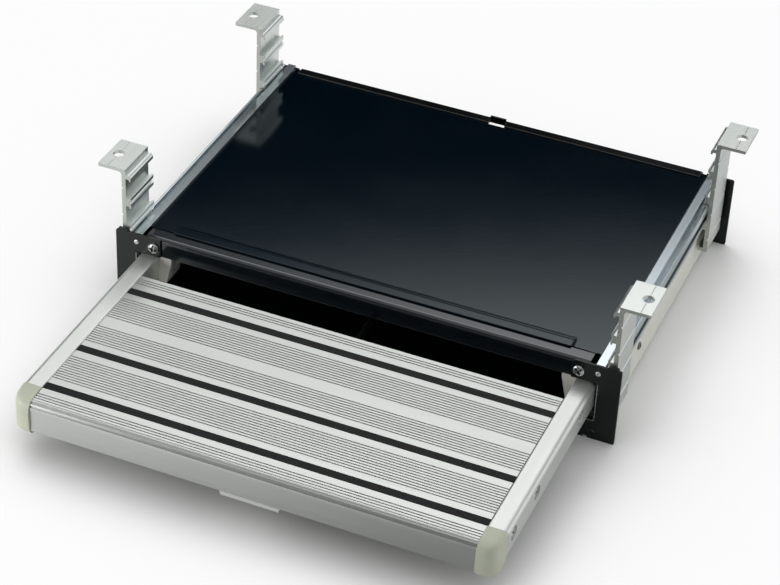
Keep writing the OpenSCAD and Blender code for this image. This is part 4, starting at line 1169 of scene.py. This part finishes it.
    def screws(self) -> None:
        """Make the six screws in the rails and the two in the stop blocks.

        The rail screws' heads are tall, so that they fill the holes in the rails' outer walls.
        """
        tall_head = {"recess": 0.6, "arm": 0.43, "brim": 0.88}
        rail_z, stop_z = self.top_z + self.rail_screw_z, self.top_z + self.stop_z
        rail, stop = [], []
        for side in Side:
            out = side.value
            for at, turn in zip(self.rail_screw_at, self.rail_turn_deg):
                seat = (out * self.rail_web_x, self.nose_y + at, rail_z)
                rail.append(Screw(seat, (out, 0, 0), *self.rail_screw, turn, **tall_head))
            seat = (out * self.stop_x, self.stop_y, stop_z)
            stop.append(Screw(seat, (-out, 0, 0), *self.stop_screw, self.stop_turn_deg))
        for node, screws in (("tread_screws", rail), ("stop_screws", stop)):
            shells = [screw.shell() for screw in screws]
            make_piece(f"{node}_turned", shells, ZINC_PALE, "tread", sharp_deg=32, node=node)

    def spring(self) -> None:
        """Make the return spring: a round wire carried along a helix about the pull rod.

        The wire's centre is r (cos a, sin a) about the rod while y grows evenly with the angle a.
        """
        per_turn, sides = 36, 14
        share = np.linspace(0, 1, self.spring_turns * per_turn + 1)[:, None]
        angle = 2 * np.pi * self.spring_turns * share
        radial = np.concatenate([np.cos(angle), np.zeros_like(angle), np.sin(angle)], -1)
        centre = self.spring_r * radial
        centre[:, 1] = self.nose_y + self.spring_at + self.spring_l * share[:, 0]
        centre[:, 2] += self.top_z + self.spring_z
        ahead = np.gradient(centre, axis=0)
        ahead /= np.linalg.norm(ahead, axis=1, keepdims=True)
        binormal = np.cross(ahead, radial)
        turn = np.linspace(0, 2 * np.pi, sides, endpoint=False)[None, :, None]
        ring = np.cos(turn) * radial[:, None] + np.sin(turn) * binormal[:, None]
        shell = closed_tube(centre[:, None] + self.wire_d / 2 * ring, centre[0], centre[-1])
        piece = make_piece(
            "return_spring_wound", [shell], SPRING_STEEL, "tread", sharp_deg=50, node="return_spring"
        )
        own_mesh(piece)


@dataclass
class Release:
    """The hand release: grip, pull rod, collar and nut, with the latch's pawl (millimetres)."""

    nose_y: float = -392.5
    rod_z: float = -107.0
    tab_at: float = 37.5
    nut_h: float = 3.2
    nut_flats: float = 7.0

    def build(self) -> None:
        """Dress the solids and make the nut."""
        # The grip's finish is painted paler than the tread's, against the shade under the nose.
        dress(GRIP_ALUMINIUM_PAINTED_PALE, "release_grip")
        dress(ROD_STEEL, "pull_rod")
        dress(ZINC_SCREW, "rod_collar", "latch_pawl")
        self.nut()

    def nut(self) -> None:
        """Make the hexagon nut with chamfered corners.

        Its radius is flats / 2 / cos(angle to the nearest flat), cut by a cone at both ends.
        """
        flat = np.ones((1, 72))
        angle = np.linspace(0, 2 * np.pi, flat.size, endpoint=False)[None, :]
        sector = (angle + np.pi / 6) % (np.pi / 3) - np.pi / 6
        hexagon = self.nut_flats / 2 / np.cos(sector)
        depth = np.array([0.0, 0.0, 0.25, 0.5, self.nut_h - 0.5, self.nut_h, self.nut_h])
        cone = np.array([0.25, 0.475, 0.525, 0.6, 0.6, 0.475, 0.25]) * self.nut_flats
        radius = np.minimum(hexagon, cone[:, None] * flat)
        seat = (0.0, self.nose_y + self.tab_at, self.rod_z)
        shell = turned(seat, (0, -1, 0), radius, depth[:, None] * flat, (0.0, self.nut_h))
        make_piece("rod_nut_chamfered", [shell], ZINC_SCREW, "release", sharp_deg=28, node="rod_nut")


@dataclass
class Studio:
    """Pale floor, soft surrounding light and the photograph's camera.

    The room has a softbox high behind the step and dark walls, so that the gloss cover and the bright
    rails fade from light in front to dark at the back, and rounded edges show a dark band.

    Attributes:
        eye: Place of the camera, in metres.
        azimuth_deg, elevation_deg, roll_deg: Where the camera looks.
        lens_mm, sensor_mm: Focal length and width of the sensor.
        clip_m: Nearest and farthest distance that the camera shows.
        floor_half_m: Half of the floor's side.
        floor_gap_m: Gap between the floor and the lowest edge of the step.
        softbox_at: Direction of the softbox.
        softbox_rim: Cosines to that direction between which the softbox fades in.
        softbox, ceiling, wall: Levels of light from the softbox, the ceiling and the dark walls.
        front: Level of light from the wall in front of the step.
        right: Level of light from the pale wall on the right behind the step.
        right_x: X of a direction between which that wall fades in.
        behind_y: Y of a direction between which the room in front turns to the room behind.
        wall_top, front_top: Heights between which the ceiling starts, behind and in front.
        slant: How much higher the ceiling starts on the left.
        dim_blue: Colour of the light where the room behind is dim.
        dim_level: Level of light from which it is white.
        lamp_at, lamp_to: Place of the lamp and the point that it lights, in metres.
        lamp_m, lamp_w: Side and power of the lamp.
        paper, paper_painted_dark: Colours of the floor, and of its part in mirrors that is painted dark, a
            painted shade.
        paper_rough, paper_sheen: Roughness and specular level of the floor.
        paper_glow: Share of plain white that the eye sees on the open floor.
        paper_mirrored: Share of that which a mirror sees.
        paper_dim: How far the mirrored floor is painted darker at the right, in front of the step and under
            it.
        dim_x, dim_y: Places between which it darkens, in metres.
        shadow_m: How near the step has to be to fade the floor's glow: partly real shadow, partly painted
            shade.
        shadow_open: Shares of open space between which that fade ends.
    """

    eye: Point = (0.64065, -1.73420, 1.18602)
    azimuth_deg: float = 21.3396
    elevation_deg: float = 36.2135
    roll_deg: float = 2.8564
    lens_mm: float = 111.589
    sensor_mm: float = 36.0
    clip_m: Span = (0.05, 100.0)

    floor_half_m: float = 9.0
    floor_gap_m: float = 0.2 * MM

    softbox_at: Point = (-0.34, 0.74, 0.58)
    softbox_rim: Span = (0.87, 0.985)
    softbox: float = 2.5
    ceiling: float = 0.8
    wall: float = 0.005
    front: float = 0.16
    right: float = 1.6
    right_x: Span = (0.4, 0.8)
    behind_y: Span = (-0.2, 0.45)
    wall_top: Span = (0.532, 0.622)
    front_top: Span = (0.58, 0.86)
    slant: float = 0.08
    dim_blue: str = "#6FA6D0"
    dim_level: float = 0.9

    lamp_at: Point = (-0.74, -0.86, 0.12)
    lamp_to: Point = (-0.15, -0.35, -0.10)
    lamp_m: float = 0.45
    lamp_w: float = 3.3

    paper: str = "#FBFBFA"
    paper_painted_dark: str = "#2A2C2A"
    paper_rough: float = 0.9
    paper_sheen: float = 0.1
    paper_glow: float = 0.93
    paper_mirrored: float = 0.6
    paper_dim: Span = (0.74, 0.37)
    dim_x: Span = (-0.3, 0.26)
    dim_y: Span = (-0.46, -0.3)
    shadow_m: float = 0.35
    shadow_open: Span = (0.58, 0.94)

    def build(self) -> None:
        """Make the camera, the floor and the light."""
        self.camera()
        self.floor()
        self.light()
        self.lamp()
        bpy.context.scene.view_settings.view_transform = "Standard"
        LOG.info("studio ready")

    def camera(self) -> None:
        """Set the camera by azimuth, elevation and roll, looking down on the step."""
        az, el, roll = (math.radians(a) for a in (self.azimuth_deg, self.elevation_deg, self.roll_deg))
        ahead = Vector((-math.sin(az) * math.cos(el), math.cos(az) * math.cos(el), -math.sin(el)))
        level = Vector((math.cos(az), math.sin(az), 0.0))
        rise = level.cross(ahead)
        right = math.cos(roll) * level + math.sin(roll) * rise
        up = math.cos(roll) * rise - math.sin(roll) * level
        lens = bpy.data.cameras.new("camera")
        lens.sensor_fit, lens.sensor_width, lens.lens = "HORIZONTAL", self.sensor_mm, self.lens_mm
        lens.clip_start, lens.clip_end = self.clip_m
        camera = bpy.data.objects.new("camera", lens)
        turn = Matrix((right, up, -ahead)).transposed()
        camera.matrix_world = Matrix.Translation(self.eye) @ turn.to_4x4()
        bpy.context.scene.collection.objects.link(camera)
        bpy.context.scene.camera = camera

    def floor(self) -> None:
        """Lay a white floor under the lowest edge of the end plates."""
        z = CAD_BOX[0][2] - self.floor_gap_m
        corner = np.array([[-1, -1], [1, -1], [1, 1], [-1, 1]]) * self.floor_half_m
        mesh = bpy.data.meshes.new("floor")
        mesh.from_pydata(np.column_stack([corner, np.full(4, z)]).tolist(), [], [[0, 1, 2, 3]])
        paint = bpy.data.materials.new("white matt paper")
        paint.use_nodes = True
        self.cover_with_paper(paint.node_tree)
        mesh.materials.append(paint)
        floor = bpy.data.objects.new("floor", mesh)
        bpy.context.scene.collection.objects.link(floor)

    def cover_with_paper(self, tree: Tree) -> None:
        """Make the floor's white paper, shown paler to the eye and in mirrors, with the step's shadow kept
        and painted shade near it.

        Mirrored in the step, the paper is painted darker towards the right front: a painted shade that
        darkens the step's front faces there.

        Args:
            tree: Node tree of the floor's material.
        """
        main = tree.nodes["Principled BSDF"]
        main.inputs["Roughness"].default_value = self.paper_rough
        main.inputs["Specular IOR Level"].default_value = self.paper_sheen
        ray = add_node(tree, "LightPath").outputs
        place = add_node(tree, "TexCoord").outputs["Object"]
        axis = add_node(tree, "SeparateXYZ", None, (place,)).outputs
        # Painted shade: in mirrors only, the paper's colour and glow darken towards the right front.
        most = add_node(tree, "MapRange", SMOOTH_STEP, (axis["Y"], *self.dim_y, *self.paper_dim)).outputs[0]
        right = add_node(tree, "MapRange", SMOOTH_STEP, (axis["X"], *self.dim_x, 0.0, most)).outputs[0]
        dim = add_node(tree, "Math", TIMES, (right, ray["Is Glossy Ray"])).outputs[0]
        tones = {0: dim, 6: linear(self.paper), 7: linear(self.paper_painted_dark)}
        tone = add_node(tree, "Mix", COLOUR_MIX, tones).outputs[2]
        tree.links.new(tone, main.inputs["Base Color"])
        share = self.paper_mirrored
        mirrored = add_node(tree, "Math", TIMES_PLUS, (right, -share, share)).outputs[0]
        direct = add_node(tree, "Math", LARGER, (ray["Is Camera Ray"], ray["Is Transmission Ray"])).outputs[0]
        seen = add_node(tree, "Math", TIMES_PLUS, (ray["Is Glossy Ray"], mirrored, direct)).outputs[0]
        # Near the step the white glow fades by how closed in the floor is: the lit paper shows its real
        # shadow there, with painted shade by nearness.
        space = add_node(tree, "AmbientOcclusion", {"samples": 12}, {"Distance": self.shadow_m}).outputs["AO"]
        glows = (space, *self.shadow_open, 0.0, self.paper_glow)
        glow = add_node(tree, "MapRange", SMOOTH_STEP, glows).outputs[0]
        shown = add_node(tree, "Math", TIMES, (seen, glow)).outputs[0]
        white = add_node(tree, "Emission", inputs={"Color": linear(WHITE), "Strength": 1.0}).outputs[0]
        mixed = add_node(tree, "MixShader", None, (shown, main.outputs[0], white)).outputs[0]
        tree.links.new(mixed, tree.nodes["Material Output"].inputs["Surface"])

    def light(self) -> None:
        """Light the step by direction: a softbox high behind it, a paler ceiling, dark walls below.

        For a direction d = (x, y, z), the ceiling starts at a soft step in z + slant x that lies lower behind
        the step than in front of it. The ceiling's level rises to the softbox by its angle to d, and where
        the room behind the step is dim its light is bluer. A paler wall stands on the right behind the step.
        The camera itself sees white beyond the floor.
        """
        world = bpy.data.worlds.new("studio")
        world.use_nodes = True
        tree, back = world.node_tree, world.node_tree.nodes["Background"]
        look = add_node(tree, "TexCoord").outputs["Generated"]
        axis = add_node(tree, "SeparateXYZ", None, (look,)).outputs
        height = add_node(tree, "Math", TIMES_PLUS, (axis["X"], self.slant, axis["Z"])).outputs[0]
        behind = add_node(tree, "MapRange", SMOOTH_STEP, (axis["Y"], *self.behind_y, 0.0, 1.0)).outputs[0]
        starts = []
        for front, wall in zip(self.front_top, self.wall_top):
            starts.append(add_node(tree, "Mix", NUMBER_MIX, {0: behind, 2: front, 3: wall}).outputs[0])
        softbox = Vector(self.softbox_at).normalized()
        near = add_node(tree, "VectorMath", DOT, (look, softbox)).outputs["Value"]
        overhead = (near, *self.softbox_rim, self.ceiling, self.softbox)
        high = add_node(tree, "MapRange", SMOOTH_STEP, overhead).outputs[0]
        walls = (axis["X"], *self.right_x, self.wall, self.right)
        beside = add_node(tree, "MapRange", SMOOTH_STEP, walls).outputs[0]
        low = add_node(tree, "Mix", NUMBER_MIX, {0: behind, 2: self.front, 3: beside}).outputs[0]
        level = add_node(tree, "MapRange", SMOOTH_STEP, (height, *starts, low, high)).outputs[0]
        ahead = add_node(tree, "Math", {"operation": "SUBTRACT"}, (1.0, behind)).outputs[0]
        lit = add_node(tree, "MapRange", SMOOTH_STEP, (level, 0.0, self.dim_level, 0.0, 1.0)).outputs[0]
        pale = add_node(tree, "Math", LARGER, (lit, ahead)).outputs[0]
        tints = {0: pale, 6: linear(self.dim_blue), 7: linear(WHITE)}
        tint = add_node(tree, "Mix", COLOUR_MIX, tints).outputs[2]
        seen = add_node(tree, "LightPath").outputs["Is Camera Ray"]
        shown = add_node(tree, "Mix", COLOUR_MIX, {0: seen, 6: tint, 7: linear(WHITE)}).outputs[2]
        strength = add_node(tree, "Mix", NUMBER_MIX, {0: seen, 2: level, 3: 1.0}).outputs[0]
        tree.links.new(shown, back.inputs["Color"])
        tree.links.new(strength, back.inputs["Strength"])
        bpy.context.scene.world = world

    def lamp(self) -> None:
        """Set a large, weak lamp low to the left, which brightens the front faces at that end."""
        light = bpy.data.lights.new("left lamp", "AREA")
        light.shape, light.size, light.energy = "SQUARE", self.lamp_m, self.lamp_w
        lamp = bpy.data.objects.new("left lamp", light)
        turn = (Vector(self.lamp_at) - Vector(self.lamp_to)).to_track_quat("Z", "Y")
        lamp.matrix_world = Matrix.Translation(self.lamp_at) @ turn.to_matrix().to_4x4()
        bpy.context.scene.collection.objects.link(lamp)


def main() -> None:
    """Build the step's looks piece by piece."""
    logging.basicConfig(level=logging.INFO, format="%(name)s: %(message)s")
    for assembly in (Studio(), Housing(), Brackets(), Tread(), Release()):
        assembly.build()
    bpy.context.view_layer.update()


if __name__ == "__main__":
    main()
